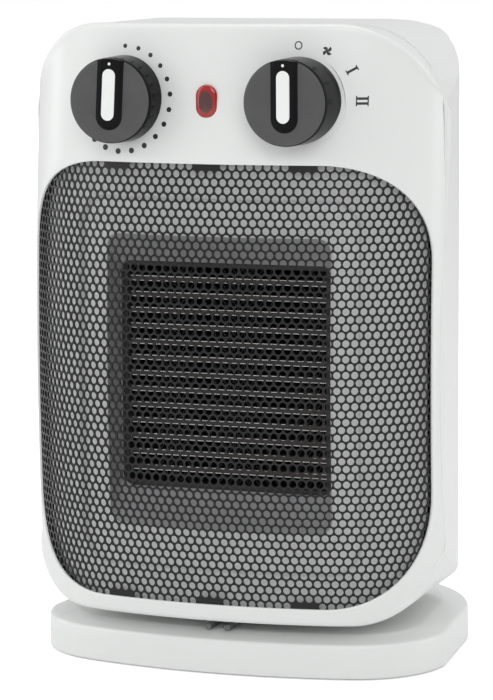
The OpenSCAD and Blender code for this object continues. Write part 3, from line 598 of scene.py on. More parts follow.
@dataclass(frozen=True)
class FrontSkin:
    """The head's bulged front: three arcs seen from above, swept over one long arc.

    Attributes:
        front: Y of the foremost point.
        half: half width of the head.
        front_r: radius of the middle arc.
        cheek_r: radius of the corner arcs.
        edge_r: radius of the arcs that meet the sides.
        cheek_end: angle where the corner arcs end.
        bulge_r: radius from top to bottom.
        bulge_z: height of the foremost point.
    """

    front: float = -71.0
    half: float = 85.0
    front_r: float = 227.4
    cheek_r: float = 58.1
    edge_r: float = 21.0
    cheek_end: float = 55.0
    bulge_r: float = 955.0
    bulge_z: float = 114.0

    @property
    def arcs(self) -> tuple[float, float, tuple[float, float], tuple[float, float]]:
        """The two angles where arcs meet, in radians, and the centres of the two smaller arcs."""
        end = math.radians(self.cheek_end)
        first = math.asin((self.half - self.edge_r - (self.cheek_r - self.edge_r) * math.sin(end))
                          / (self.front_r - self.cheek_r))
        cheek = ((self.front_r - self.cheek_r) * math.sin(first),
                 self.front + self.front_r - (self.front_r - self.cheek_r) * math.cos(first))
        edge = (cheek[0] + (self.cheek_r - self.edge_r) * math.sin(end),
                cheek[1] - (self.cheek_r - self.edge_r) * math.cos(end))
        return first, end, cheek, edge

    @property
    def seam(self) -> float:
        """Y where the front ends against the rear casing."""
        return self.arcs[3][1]

    def across(self, u: np.ndarray, depth: np.ndarray | float = 0.0) -> tuple[np.ndarray, np.ndarray]:
        """X and Y at a distance u along the front, seen from above.

        Args:
            u: signed distance along the skin from its middle.
            depth: how far under the skin.

        Returns:
            X and Y.
        """
        first, end, cheek, edge = self.arcs
        reach = np.abs(u)
        u1 = self.front_r * first
        u2 = u1 + self.cheek_r * (end - first)
        angle = np.where(reach < u1, reach / self.front_r,
                         np.where(reach < u2, first + (reach - u1) / self.cheek_r,
                             end + (reach - u2) / self.edge_r))
        centre_x = np.where(reach < u1, 0.0, np.where(reach < u2, cheek[0], edge[0]))
        centre_y = np.where(reach < u1, self.front + self.front_r, np.where(reach < u2, cheek[1], edge[1]))
        radius = np.where(reach < u1, self.front_r, np.where(reach < u2, self.cheek_r, self.edge_r)) - depth
        return np.sign(u) * (centre_x + radius * np.sin(angle)), centre_y - radius * np.cos(angle)

    def along(self, x: np.ndarray) -> np.ndarray:
        """Distance along the skin at a given X."""
        first, end, cheek, edge = self.arcs
        reach = np.abs(x)
        x1 = self.front_r * math.sin(first)
        x2 = cheek[0] + self.cheek_r * math.sin(end)
        a1 = np.arcsin(np.clip(reach / self.front_r, -1, 1))
        a2 = np.arcsin(np.clip((reach - cheek[0]) / self.cheek_r, -1, 1))
        a3 = np.arcsin(np.clip((reach - edge[0]) / self.edge_r, -1, 1))
        u1 = self.front_r * first
        u2 = u1 + self.cheek_r * (end - first)
        u = np.where(reach < x1, self.front_r * a1,
                     np.where(reach < x2, u1 + self.cheek_r * (a2 - first), u2 + self.edge_r * (a3 - end)))
        return np.sign(x) * u

    def points(self, u: np.ndarray, z: np.ndarray, depth: np.ndarray | float = 0.0) -> np.ndarray:
        """Points on the skin, or at a depth under it.

        Args:
            u: distance along the skin.
            z: height.
            depth: how far under the skin.

        Returns:
            An N by 3 array.
        """
        x, y = self.across(u, depth)
        far = self.front + self.bulge_r
        return np.column_stack([x, far - np.sqrt((far - y) ** 2 - (z - self.bulge_z) ** 2), z])

    def at(self, xz: np.ndarray, depth: float = 0.0) -> np.ndarray:
        """Points on the skin over places in X and Z.

        Args:
            xz: N by 2 places.
            depth: how far under the skin.

        Returns:
            An N by 3 array.
        """
        return self.points(self.along(xz[:, 0]), xz[:, 1], depth)


SKIN = FrontSkin()
HEAD = Outline(84.93, 21.3, 252.9, (29.0, 29.0), (37.0, 37.0))
OPENING = Outline(92.5, 28.2, 199.7, (46.0, 44.0), (47.5, 38.0))


@dataclass
class FrontCasing:
    """The white front shell with its grille opening, knob seats and lamp hole."""

    lip: float = 0.95
    wall: float = 1.8
    edge_r: float = 2.4
    face_steps: int = 16
    roof_slope: float = 0.07
    seat_r: float = 18.3
    seat_y: float = -57.5
    knob_x: float = 35.3
    knob_z: float = 224.0
    lens: tuple[float, float] = (8.5, 13.0)

    def roof_drop(self) -> np.ndarray:
        """How much each outline point moves inwards per millimetre behind the front edge."""
        out = HEAD.outward()
        return self.roof_slope * np.clip(out[:, 1], 0, 1) ** 2

    def outer_rings(self) -> tuple[np.ndarray, np.ndarray, list[np.ndarray]]:
        """The rings from the front face's edge, round the corner and back to the seam.

        Returns:
            The face edge in u and z, its local edge radius, and the rings.
        """
        out, flat = HEAD.outward(), HEAD.ring()
        room = SKIN.seam - SKIN.at(flat)[:, 1]
        radius = np.minimum(self.edge_r, 0.35 * room)
        face_xz = flat - out * radius[:, None]
        face = SKIN.at(face_xz)
        rings = [face]
        for turn in np.radians([20, 38, 56, 74, 90]):
            xz = flat - out * (radius * (1 - math.sin(turn)))[:, None]
            rings.append(np.column_stack([xz[:, 0], face[:, 1] + radius * (1 - math.cos(turn)), xz[:, 1]]))
        start = rings[-1][:, 1]
        drop = self.roof_drop()
        for share in (0.12, 0.3, 0.5, 0.75, 0.97, 1.0):
            y = start + (SKIN.seam - start) * share
            inset = drop * (y - start) + (0.35 if share == 1.0 else 0.0)
            xz = flat - out * inset[:, None]
            rings.append(np.column_stack([xz[:, 0], y, xz[:, 1]]))
        edge = np.column_stack([SKIN.along(face_xz[:, 0]), face_xz[:, 1]])
        return edge, radius, rings

    def shell(self) -> tuple[np.ndarray, list[tuple[int, ...]]]:
        """The closed shell before its holes are cut."""
        edge, _, outer = self.outer_rings()
        rings = []
        for grow, depth in ((0.0, self.lip), (0.0, 0.45), (0.1, 0.15), (0.4, 0.0)):
            ring = OPENING.ring(grow)
            rings.append(SKIN.points(ring[:, 0], ring[:, 1], depth))
        start = OPENING.ring(0.4)
        for step in range(1, self.face_steps):
            share = step / self.face_steps
            uz = start * (1 - share) + edge * share
            rings.append(SKIN.points(uz[:, 0], uz[:, 1]))
        rings.extend(outer)
        out = HEAD.outward()
        last = outer[-1]
        for inset, forward in ((self.wall, 0.0), (self.wall, 0.9)):
            back = outer[6][:, 1] + self.wall
            y = last[:, 1] * (1 - forward) + back * forward
            xz = last[:, [0, 2]] - out * inset
            rings.append(np.column_stack([xz[:, 0], np.minimum(y, SKIN.seam), xz[:, 1]]))
        inner_edge = OPENING.ring(4.8)
        for share in (0.92, 0.6, 0.3, 0.0):
            uz = inner_edge * (1 - share) + edge * share
            rings.append(SKIN.points(uz[:, 0], uz[:, 1], self.wall))
        under = OPENING.ring(4.2)
        rings.append(SKIN.points(under[:, 0], under[:, 1], self.lip))
        points, faces = rings_mesh(rings, loop=True)
        return points, [tuple(reversed(face)) for face in faces]

    def seat(self, side: float) -> tuple[np.ndarray, list[tuple[int, ...]]]:
        """One sunk round knob seat: a soft rim, a wall and a flat floor with a hole."""
        centre = np.array([side * self.knob_x, self.knob_z])
        rings = []
        for grow, sink in ((0.5, 0.0), (0.3, 0.03), (0.12, 0.13), (0.0, 0.4)):
            ring = circle_xz(self.seat_r + grow) + centre
            points = SKIN.at(ring)
            points[:, 1] += sink
            rings.append(points)
        for radius, y in ((self.seat_r, self.seat_y - 0.6), (self.seat_r - 0.6, self.seat_y), (6.0,
            self.seat_y),
                          (5.6, self.seat_y + 0.4), (5.6, self.seat_y + 2.5)):
            ring = circle_xz(radius) + centre
            rings.append(np.column_stack([ring[:, 0], np.full(len(ring), y), ring[:, 1]]))
        points, faces = rings_mesh(rings)
        return points, [tuple(reversed(f)) for f in faces]

    def build(self) -> bpy.types.Object:
        """Builds the shell, cuts it and adds the seats.

        Returns:
            The front casing piece.
        """
        piece = make_piece("front_casing", *self.shell(), [CASING])
        cutters = []
        for side in (-1, 1):
            outline = circle_xz(self.seat_r + 0.45)
            solid = prism_y(outline, (side * self.knob_x, self.knob_z), -90.0, -40.0)
            cutters.append(make_piece("cutter", *solid, []))
        slot = prism_y(stadium_xz(*self.lens, grow=0.12), (0.0, self.knob_z - 0.6), -90.0, -40.0)
        cutters.append(make_piece("cutter", *slot, []))
        cut(piece, cutters)
        seats = make_piece("knob_seats", *merge([self.seat(-1), self.seat(1)]), [CASING])
        mount(seats, Body.HEAD, Slot.CASING)
        return mount(piece, Body.HEAD, Slot.CASING, "front_frame")


@dataclass
class PerforatedGrille:
    """The curved black sheet with its staggered round holes and six plain tabs."""

    pitch: float = 3.5
    hole: float = 2.9
    sheet: float = 0.7
    depth: float = 1.0
    overlap: float = 2.2
    hole_sides: int = 12
    tab_places: tuple[float, ...] = (-39.0, 0.0, 39.0)
    tab_half: float = 6.3
    tab_depth: float = 2.4
    row_inset: float = 47.0

    def cells(self) -> list[tuple[float, float, bool]]:
        """The hexagon centres inside the opening, and whether each has a hole."""
        row = self.pitch * math.sqrt(3) / 2
        wide = OPENING.half + self.overlap
        middle = (OPENING.low + OPENING.high) / 2
        tall = (OPENING.high - OPENING.low) / 2 + self.overlap
        edge = OPENING.ring(self.overlap)
        found = []
        rows = int(tall / row)
        for j in range(-rows, rows + 1):
            z = middle + j * row
            right = edge[edge[:, 0] >= 0]
            order = np.argsort(right[:, 1], kind="stable")
            reach = float(np.interp(z, right[order, 1], right[order, 0]))
            if z < edge[:, 1].min() + 1 or z > edge[:, 1].max() - 1:
                reach = wide - self.row_inset
            for i in range(-40, 41):
                u = (i + 0.5 * (j % 2)) * self.pitch
                if abs(u) > reach:
                    continue
                rim = z > OPENING.high - self.tab_depth or z < OPENING.low + self.tab_depth
                tab = rim and any(abs(u - place) < self.tab_half for place in self.tab_places)
                found.append((u, z, not tab))
        return found

    def sheet_mesh(self) -> tuple[np.ndarray, list[tuple[int, ...]]]:
        """Both sides of the sheet, the hole walls and the outer edge."""
        corner_r = self.pitch / math.sqrt(3)
        corner_turn = [math.radians(60 * k + 30) for k in range(6)]
        hole_turn = [2 * math.pi * k / self.hole_sides for k in range(self.hole_sides)]
        flat: list[tuple[float, float]] = []
        shared: dict[tuple[int, int], int] = {}
        tris: list[tuple[int, int, int]] = []
        rims: list[list[int]] = []
        for u, z, holed in self.cells():
            corners = []
            for turn in corner_turn:
                pu, pz = u + corner_r * math.cos(turn), z + corner_r * math.sin(turn)
                key = (round(pu * 20), round(pz * 20))
                if key not in shared:
                    shared[key] = len(flat)
                    flat.append((pu, pz))
                corners.append(shared[key])
            if not holed:
                tris.extend((corners[0], corners[k], corners[k + 1]) for k in range(1, 5))
                continue
            start = len(flat)
            flat.extend((u + self.hole / 2 * math.cos(t),
                z + self.hole / 2 * math.sin(t)) for t in hole_turn)
            rim = list(range(start, start + self.hole_sides))
            rims.append(rim)
            for k in range(6):
                near = [rim[(2 * k + 1 + s) % self.hole_sides] for s in (0, 1, 2)]
                a, b = corners[k], corners[(k + 1) % 6]
                tris.extend([(a, near[1], near[0]), (a, b, near[1]), (b, near[2], near[1])])
        uz = np.array(flat)
        front = SKIN.points(uz[:, 0], uz[:, 1], self.depth)
        back = SKIN.points(uz[:, 0], uz[:, 1], self.depth + self.sheet)
        count = len(flat)
        faces: list[tuple[int, ...]] = [tuple(t) for t in tris]
        faces += [(c + count, b + count, a + count) for a, b, c in tris]
        for rim in rims:
            for k, a in enumerate(rim):
                b = rim[(k + 1) % len(rim)]
                faces.append((b, a, a + count, b + count))
        edges: dict[tuple[int, int], int] = {}
        for a, b, c in tris:
            for p, q in ((a, b), (b, c), (c, a)):
                edges[(p, q)] = edges.get((p, q), 0) + 1
        on_rim = {i for rim in rims for i in rim}
        for p, q in edges:
            if (q, p) not in edges and not (p in on_rim and q in on_rim):
                faces.append((q, p, p + count, q + count))
        return np.vstack([front, back]), faces

    def build(self) -> bpy.types.Object:
        """Builds the sheet.

        Returns:
            The grille piece.
        """
        piece = make_piece("perforated_grille", *self.sheet_mesh(), [GRILLE_BLACK], sharp=50.0)
        return mount(piece, Body.HEAD, Slot.GRILLE, "front_grille")


@dataclass
class AirBaffle:
    """The white stepped funnel behind the grille, from the opening in to the element."""

    flange_depth: float = 6.0
    step: Outline = field(default_factory=lambda: Outline(63.0, 40.0, 186.0, (14.0, 14.0), (14.0, 14.0)))
    mouth: Outline = field(default_factory=lambda: Outline(49.5, 56.0, 171.0, (6.0, 6.0), (6.0, 6.0)))
    core: Outline = field(default_factory=lambda: Outline(44.0, 69.5, 159.5, (5.0, 5.0), (5.0, 5.0)))
    core_y: float = -45.6
    skin: float = 1.2

    def build(self) -> bpy.types.Object:
        """Builds the funnel as one closed sheet.

        Returns:
            The baffle piece.
        """
        front = []
        for outline, grow, depth in ((OPENING, 1.4, self.flange_depth - 2.0), (self.step, 0.6,
            self.flange_depth + 0.6),
                                     (self.step, 0.0, self.flange_depth + 0.8), (self.step, -0.8,
                                         self.flange_depth + 3.4),
                                     (self.mouth, 0.5, self.flange_depth + 4.6), (self.mouth, 0.0,
                                         self.flange_depth + 5.0)):
            ring = outline.ring(grow)
            front.append(SKIN.points(ring[:, 0], ring[:, 1], depth))
        start, ring = front[-1], self.core.ring()
        end = np.column_stack([ring[:, 0], np.full(len(ring), self.core_y), ring[:, 1]])
        for share in (0.3, 1.0):
            front.append(start * (1 - share) + end * share)
        back = [ring + (0.0, self.skin, 0.0) for ring in reversed(front)]
        points, faces = rings_mesh(front + back, loop=True)
        faces = [tuple(reversed(face)) for face in faces]
        piece = make_piece("air_baffle", points, faces, [SOFT_WHITE, THROAT_PAINTED_SHADE], sharp=40.0)
        around = len(front[0])
        # The deep throat faces get painted shade: a darker grey than the white flange.
        for polygon in list(piece.data.polygons)[around * 5:around * 7]:
            polygon.material_index = 1
        return mount(piece, Body.HEAD, Slot.PLASTIC, "air_duct")


# ---------------------------------------------------------------- controls


@dataclass
class Knob:
    """A round knob: glossy side, matt face, a raised pointer bar with a white inlay and a dot."""

    name: str
    x: float
    body: Body
    nodes: tuple[str, str]
    turn: float = 0.0
    z: float = 224.0
    face_r: float = 16.35
    base_r: float = 16.75
    back_y: float = -58.0
    face_y: float = -76.2
    bar_w: float = 7.8
    bar_low: float = -10.7
    bar_h: float = 1.45
    inlay: tuple[float, float] = (5.2, 19.7)
    inlay_gap: float = 4.2

    def place(self, local: np.ndarray) -> np.ndarray:
        """Turns local X, Y and Z about the knob's axis and moves them to the knob.

        Args:
            local: N by 3 points about the axis.

        Returns:
            The points in the object's frame.
        """
        turn = math.radians(self.turn)
        x = local[:, 0] * math.cos(turn) + local[:, 2] * math.sin(turn)
        z = -local[:, 0] * math.sin(turn) + local[:, 2] * math.cos(turn)
        return np.column_stack([x + self.x, local[:, 1], z + self.z])

    def body_mesh(self) -> tuple[np.ndarray, list[tuple[int, ...]], int]:
        """The turned body and how many of its faces, from the front, are the matt face."""
        face = [(0.0, 0.0), (5.0, 0.0), (10.0, 0.0), (15.2, 0.0), (15.75, 0.06), (16.1, 0.22),
            (self.face_r, 0.6)]
        side_y = [3.0, 7.0, 11.0, 15.0, self.back_y - self.face_y - 0.5]
        span = self.back_y - self.face_y
        side = [(self.face_r + (self.base_r - self.face_r) * y / span, y) for y in side_y]
        back = [(self.base_r - 0.4, span), (14.4, span), (14.2, 5.0), (6.0, 5.0), (6.0, span - 1),
            (3.05, span - 1), (3.05, 5.2)]
        rings = []
        for radius, y in (face[1:] + side + back):
            ring = circle_xz(radius, 96)
            rings.append(self.place(np.column_stack([ring[:, 0], np.full(96, self.face_y + y), ring[:,
                1]])))
        points, faces = rings_mesh(rings)
        matt = 96 * 4
        cap(faces, 0, 96, flip=True)
        cap(faces, (len(rings) - 1) * 96, 96)
        return points, faces, matt

    def bar_mesh(self) -> tuple[np.ndarray, list[tuple[int, ...]]]:
        """The raised bar: soft flanks, a round lower end and a square top end on the rim."""
        rings = []
        half = self.bar_w / 2
        low_centre = self.bar_low + half + 0.9
        for grow, height in ((1.7, -0.05), (1.25, 0.06), (0.9, 0.25), (0.6, 0.6), (0.35, 1.05), (0.12,
            1.32), (-0.2, self.bar_h), (-0.7, self.bar_h + 0.03)):
            radius = half + grow
            turn = np.linspace(-math.pi / 2, math.pi / 2, 25)
            lower = np.column_stack([-radius * np.sin(turn), low_centre - radius * np.cos(turn)])
            rise = np.linspace(low_centre, 17.5, 14)[1:]
            left = np.column_stack([np.full(13, -radius), rise])
            top = np.column_stack([np.linspace(-radius, radius, 9)[1:-1], np.full(7, 17.5)])
            right = np.column_stack([np.full(13, radius), rise[::-1]])
            ring = np.vstack([lower, left, top, right])
            reach = np.linalg.norm(ring, axis=1)
            limit = self.face_r - 0.08 - 0.12 * height
            ring *= np.minimum(1.0, limit / reach)[:, None]
            rings.append(self.place(np.column_stack([ring[:, 0], np.full(len(ring),
                self.face_y - height), ring[:, 1]])))
        points, faces = rings_mesh(rings)
        cap(faces, (len(rings) - 1) * len(rings[0]), len(rings[0]))
        return points, [tuple(reversed(f)) for f in faces]

    def inlay_mesh(self) -> tuple[np.ndarray, list[tuple[int, ...]]]:
        """The white inlay, slightly crowned."""
        rings = []
        centre = self.face_r - self.inlay_gap - self.inlay[1] / 2
        for grow, height in ((0.0, self.bar_h - 0.3), (0.0, self.bar_h + 0.1), (-0.12,
            self.bar_h + 0.2), (-0.5, self.bar_h + 0.24)):
            ring = stadium_xz(*self.inlay, grow=grow)
            rings.append(self.place(np.column_stack([ring[:, 0], np.full(len(ring),
                self.face_y - height), ring[:, 1] + centre])))
        points, faces = rings_mesh(rings)
        cap(faces, 3 * len(rings[0]), len(rings[0]))
        return points, [tuple(reversed(f)) for f in faces]

    def dot_mesh(self) -> tuple[np.ndarray, list[tuple[int, ...]]]:
        """The small white dot near the rim."""
        ring = circle_xz(0.55, 24) + (0.0, 14.1)
        rings = [self.place(np.column_stack([ring[:, 0], np.full(24, self.face_y - self.bar_h - h),
            ring[:, 1]]))
                 for h in (0.0, 0.09)]
        points, faces = rings_mesh(rings)
        cap(faces, 24, 24)
        return points, [tuple(reversed(f)) for f in faces]

    def build(self) -> bpy.types.Object:
        """Builds the knob and its inlay.

        Returns:
            The knob piece.
        """
        points, faces, matt = self.body_mesh()
        bar = self.bar_mesh()
        all_points, all_faces = merge([(points, faces), bar])
        piece = make_piece(self.name, all_points, all_faces, [KNOB_GLOSS, KNOB_FACE], sharp=35.0)
        for index, polygon in enumerate(piece.data.polygons):
            if index < matt or index == len(faces) - 2:
                polygon.material_index = 1
        inlay = make_piece(f"{self.name}_inlay", *merge([self.inlay_mesh(), self.dot_mesh()]), [POINTER])
        mount(inlay, self.body, Slot.POINTER, self.nodes[1])
        return mount(piece, self.body, Slot.KNOB, self.nodes[0])


@dataclass
class PanelPrint:
    """The printed scales: growing dots round the thermostat, four marks round the switch."""

    knob_x: float = 35.3
    knob_z: float = 224.0
    dot_ring: float = 20.2
    dot_count: int = 17
    dot_step: float = 16.8
    dot_sizes: tuple[float, float] = (1.7, 2.5)
    lift: float = 0.03

    def stamp(self, shape: np.ndarray, centre: np.ndarray, turn: float) -> tuple[np.ndarray,
        list[tuple[int, ...]]]:
        """Lays a flat outline on the panel.

        Args:
            shape: N by 2 points, across and outwards.
            centre: X and Z of its middle.
            turn: degrees clockwise.

        Returns:
            Points and faces of a thin raised print.
        """
        angle = math.radians(turn)
        x = shape[:, 0] * math.cos(angle) + shape[:, 1] * math.sin(angle) + centre[0]
        z = -shape[:, 0] * math.sin(angle) + shape[:, 1] * math.cos(angle) + centre[1]
        xz = np.column_stack([x, z])
        base, top = SKIN.at(xz), SKIN.at(xz)
        base[:, 1] += self.lift
        top[:, 1] -= self.lift
        points, faces = rings_mesh([base, top])
        cap(faces, len(shape), len(shape))
        return points, [tuple(reversed(f)) for f in faces]

    def around(self, side: float, turn: float, radius: float) -> np.ndarray:
        """X and Z at an angle clockwise from the top of a knob."""
        angle = math.radians(turn)
        return np.array([side * self.knob_x + radius * math.sin(angle),
            self.knob_z + radius * math.cos(angle)])

    def bar(self, width: float, height: float, across: float = 0.0, out: float = 0.0) -> np.ndarray:
        """A small rectangle."""
        w, h = width / 2, height / 2
        return np.array([(-w, -h), (-w, h), (w, h), (w, -h)]) + (across, out)

    def letter_bars(self, strokes: Sequence[float]) -> list[np.ndarray]:
        """Upright strokes with feet at both ends.

        Args:
            strokes: where the strokes stand across the mark.

        Returns:
            The outlines.
        """
        shapes = []
        for across in strokes:
            shapes.append(self.bar(0.95, 4.0, across))
            shapes += [self.bar(2.0, 0.42, across, out) for out in (-2.0, 2.0)]
        return shapes

    def build(self) -> bpy.types.Object:
        """Builds all marks.

        Returns:
            The print piece.
        """
        marks = []
        small, large = self.dot_sizes
        for i in range(self.dot_count):
            size = small + (large - small) * i / (self.dot_count - 1)
            turn = i * self.dot_step
            marks.append(self.stamp(circle_xz(size / 2, 24), self.around(-1, turn, self.dot_ring), 0.0))
        for k in range(28):
            a0, a1 = 2 * math.pi * k / 28, 2 * math.pi * (k + 1) / 28
            piece = np.array([(r * s * math.sin(a), r * math.cos(a)) for r, s, a in
                              ((1.17, 0.92, a0), (1.62, 0.92, a0), (1.62, 0.92, a1), (1.17, 0.92, a1))])
            marks.append(self.stamp(piece, self.around(1, 0.0, 20.9), 0.0))
        hub = self.around(1, 30.0, 21.7)
        for k in range(4):
            swing = np.radians(np.linspace(-8, 172, 12))
            blade = np.column_stack([1.15 * np.sin(swing), 0.98 - 0.98 * np.cos(swing)])
            marks.append(self.stamp(blade[::-1], hub, 30.0 + 90.0 * k))
        marks.append(self.stamp(circle_xz(0.42, 16), hub, 0.0))
        for shape in self.letter_bars([0.0]):
            marks.append(self.stamp(shape, self.around(1, 60.0, 23.2), 60.0))
        for shape in self.letter_bars([-0.92, 0.92]):
            marks.append(self.stamp(shape, self.around(1, 90.0, 24.0), 90.0))
        piece = make_piece("panel_print", *merge(marks), [PRINT], sharp=20.0)
        return mount(piece, Body.HEAD, Slot.PRINT)


@dataclass
class PilotLens:
    """The red pilot lamp lens, a crowned slot shape."""

    size: tuple[float, float] = (8.5, 13.0)
    z: float = 223.4

    def build(self) -> bpy.types.Object:
        """Builds the lens.

        Returns:
            The lens piece.
        """
        face_y = SKIN.at(np.array([[0.0, self.z]]))[0, 1]
        # The lens finish paints a darker, duller middle as the lamp and its shade seen through the lens.
        finish = LensPaintedShade("lens_red", (0.30, 0.004, 0.006), (0.45, 0.012, 0.014), (0.06, 0.12),
            (3000.0, 0.002), 240.0,
                            coat=0.6, centre=(0.0, 0.0, self.z))
        rings = []
        for grow, height in ((0.05, -2.4), (0.05, -0.1), (-0.05, 0.3), (-0.35, 0.62), (-0.9, 0.85),
            (-1.7, 1.0), (-2.7, 1.08)):
            ring = stadium_xz(*self.size, grow=grow)
            rings.append(np.column_stack([ring[:, 0], np.full(len(ring), face_y - height), ring[:,
                1] + self.z]))
        points, faces = rings_mesh(rings)
        cap(faces, (len(rings) - 1) * len(rings[0]), len(rings[0]))
        faces = [tuple(reversed(f)) for f in faces]
        piece = make_piece("pilot_lamp_lens", points, faces, [finish])
        return mount(piece, Body.HEAD, Slot.LENS, "pilot_lens")


# ---------------------------------------------------------------- base


@dataclass
class BaseCover:
    """The white base: a rim, a sloping band, a raised middle and a hole for the swivel post."""

    front: float = -65.0
    rear: float = 78.0
    half: float = 83.5
    side_in: float = 3.5
    front_r: float = 226.4
    front_corner_r: float = 38.0
    back_r: float = 150.0
    back_corner_r: float = 65.0
    post_r: float = 12.15
    rim: float = 14.0
    deck: float = 16.0

    def ring(self, inset: float) -> np.ndarray:
        """The base's outline in X and Y, set in.

        Args:
            inset: how far inside the edge.

        Returns:
            An N by 2 array, from the front's middle to the right and round.
        """
        fa = math.asin((self.half - self.front_corner_r) / (self.front_r - self.front_corner_r))
        fc = ((self.front_r - self.front_corner_r) * math.sin(fa),
              self.front + self.front_r - (self.front_r - self.front_corner_r) * math.cos(fa))
        side = self.half - self.side_in
        ba = math.asin((side - self.back_corner_r) / (self.back_r - self.back_corner_r))
        bc = ((self.back_r - self.back_corner_r) * math.sin(ba),
              self.rear - self.back_r + (self.back_r - self.back_corner_r) * math.cos(ba))
        pi = math.pi
        arcs = [((0.0, self.front + self.front_r), self.front_r, 0.0, fa, 12),
                (fc, self.front_corner_r, fa, math.radians(88), 26),
                (bc, self.back_corner_r, math.radians(92), pi - ba, 26),
                ((0.0, self.rear - self.back_r), self.back_r, pi - ba, pi, 10)]
        right = []
        for centre, radius, start, stop, steps in arcs:
            for a in np.linspace(start, stop, steps, endpoint=stop == pi):
                right.append((centre[0] + (radius - inset) * math.sin(a),
                    centre[1] - (radius - inset) * math.cos(a)))
        points = np.array(right)
        return np.vstack([points, points[-2:0:-1] * (-1, 1)])

    def build(self) -> bpy.types.Object:
        """Builds the cover.

        Returns:
            The base cover piece.
        """
        outside = [(0.7, 0.5), (0.35, 0.55), (0.1, 0.75), (0.0, 1.2), (0.0, 4.0), (0.05, 8.0), (0.1,
            12.4), (0.25, 13.1),
                   (0.6, 13.6), (1.1, 13.85), (2.0, 14.0), (6.0, 14.85), (9.4, 15.6), (10.0,
                       15.85), (10.8, 15.97), (13.0, self.deck)]
        under = [(13.0, 13.8), (11.5, 11.8), (2.6, 11.6), (2.4, 0.6)]
        count = len(self.ring(0.0))
        turn = np.arctan2(self.ring(13.0)[:, 0], -self.ring(13.0)[:, 1])
        rings = [np.column_stack([self.ring(inset), np.full(count, z)]) for inset, z in outside]
        inner_edge = self.ring(13.0)
        hole = np.column_stack([np.sin(turn), -np.cos(turn)]) * self.post_r
        for share in (0.35, 0.7, 0.96, 1.0):
            rings.append(np.column_stack([inner_edge * (1 - share) + hole * share, np.full(count,
                self.deck)]))
        rings.append(np.column_stack([hole, np.full(count, 13.8)]))
        for share in (0.6, 0.2):
            rings.append(np.column_stack([inner_edge * (1 - share) + hole * share, np.full(count, 13.8)]))
        rings += [np.column_stack([self.ring(inset), np.full(count, z)]) for inset, z in under]
        points, faces = rings_mesh(rings, loop=True)
        piece = make_piece("base_shell", points, faces, [CASING])
        gland = prism_y(circle_xz(4.65, 40), (0.0, 6.8), 66.0, 90.0)
        cut(piece, [make_piece("cutter", *gland, [])])
        return mount(piece, Body.BASE, Slot.CASING, "base_cover")


# ---------------------------------------------------------------- surroundings


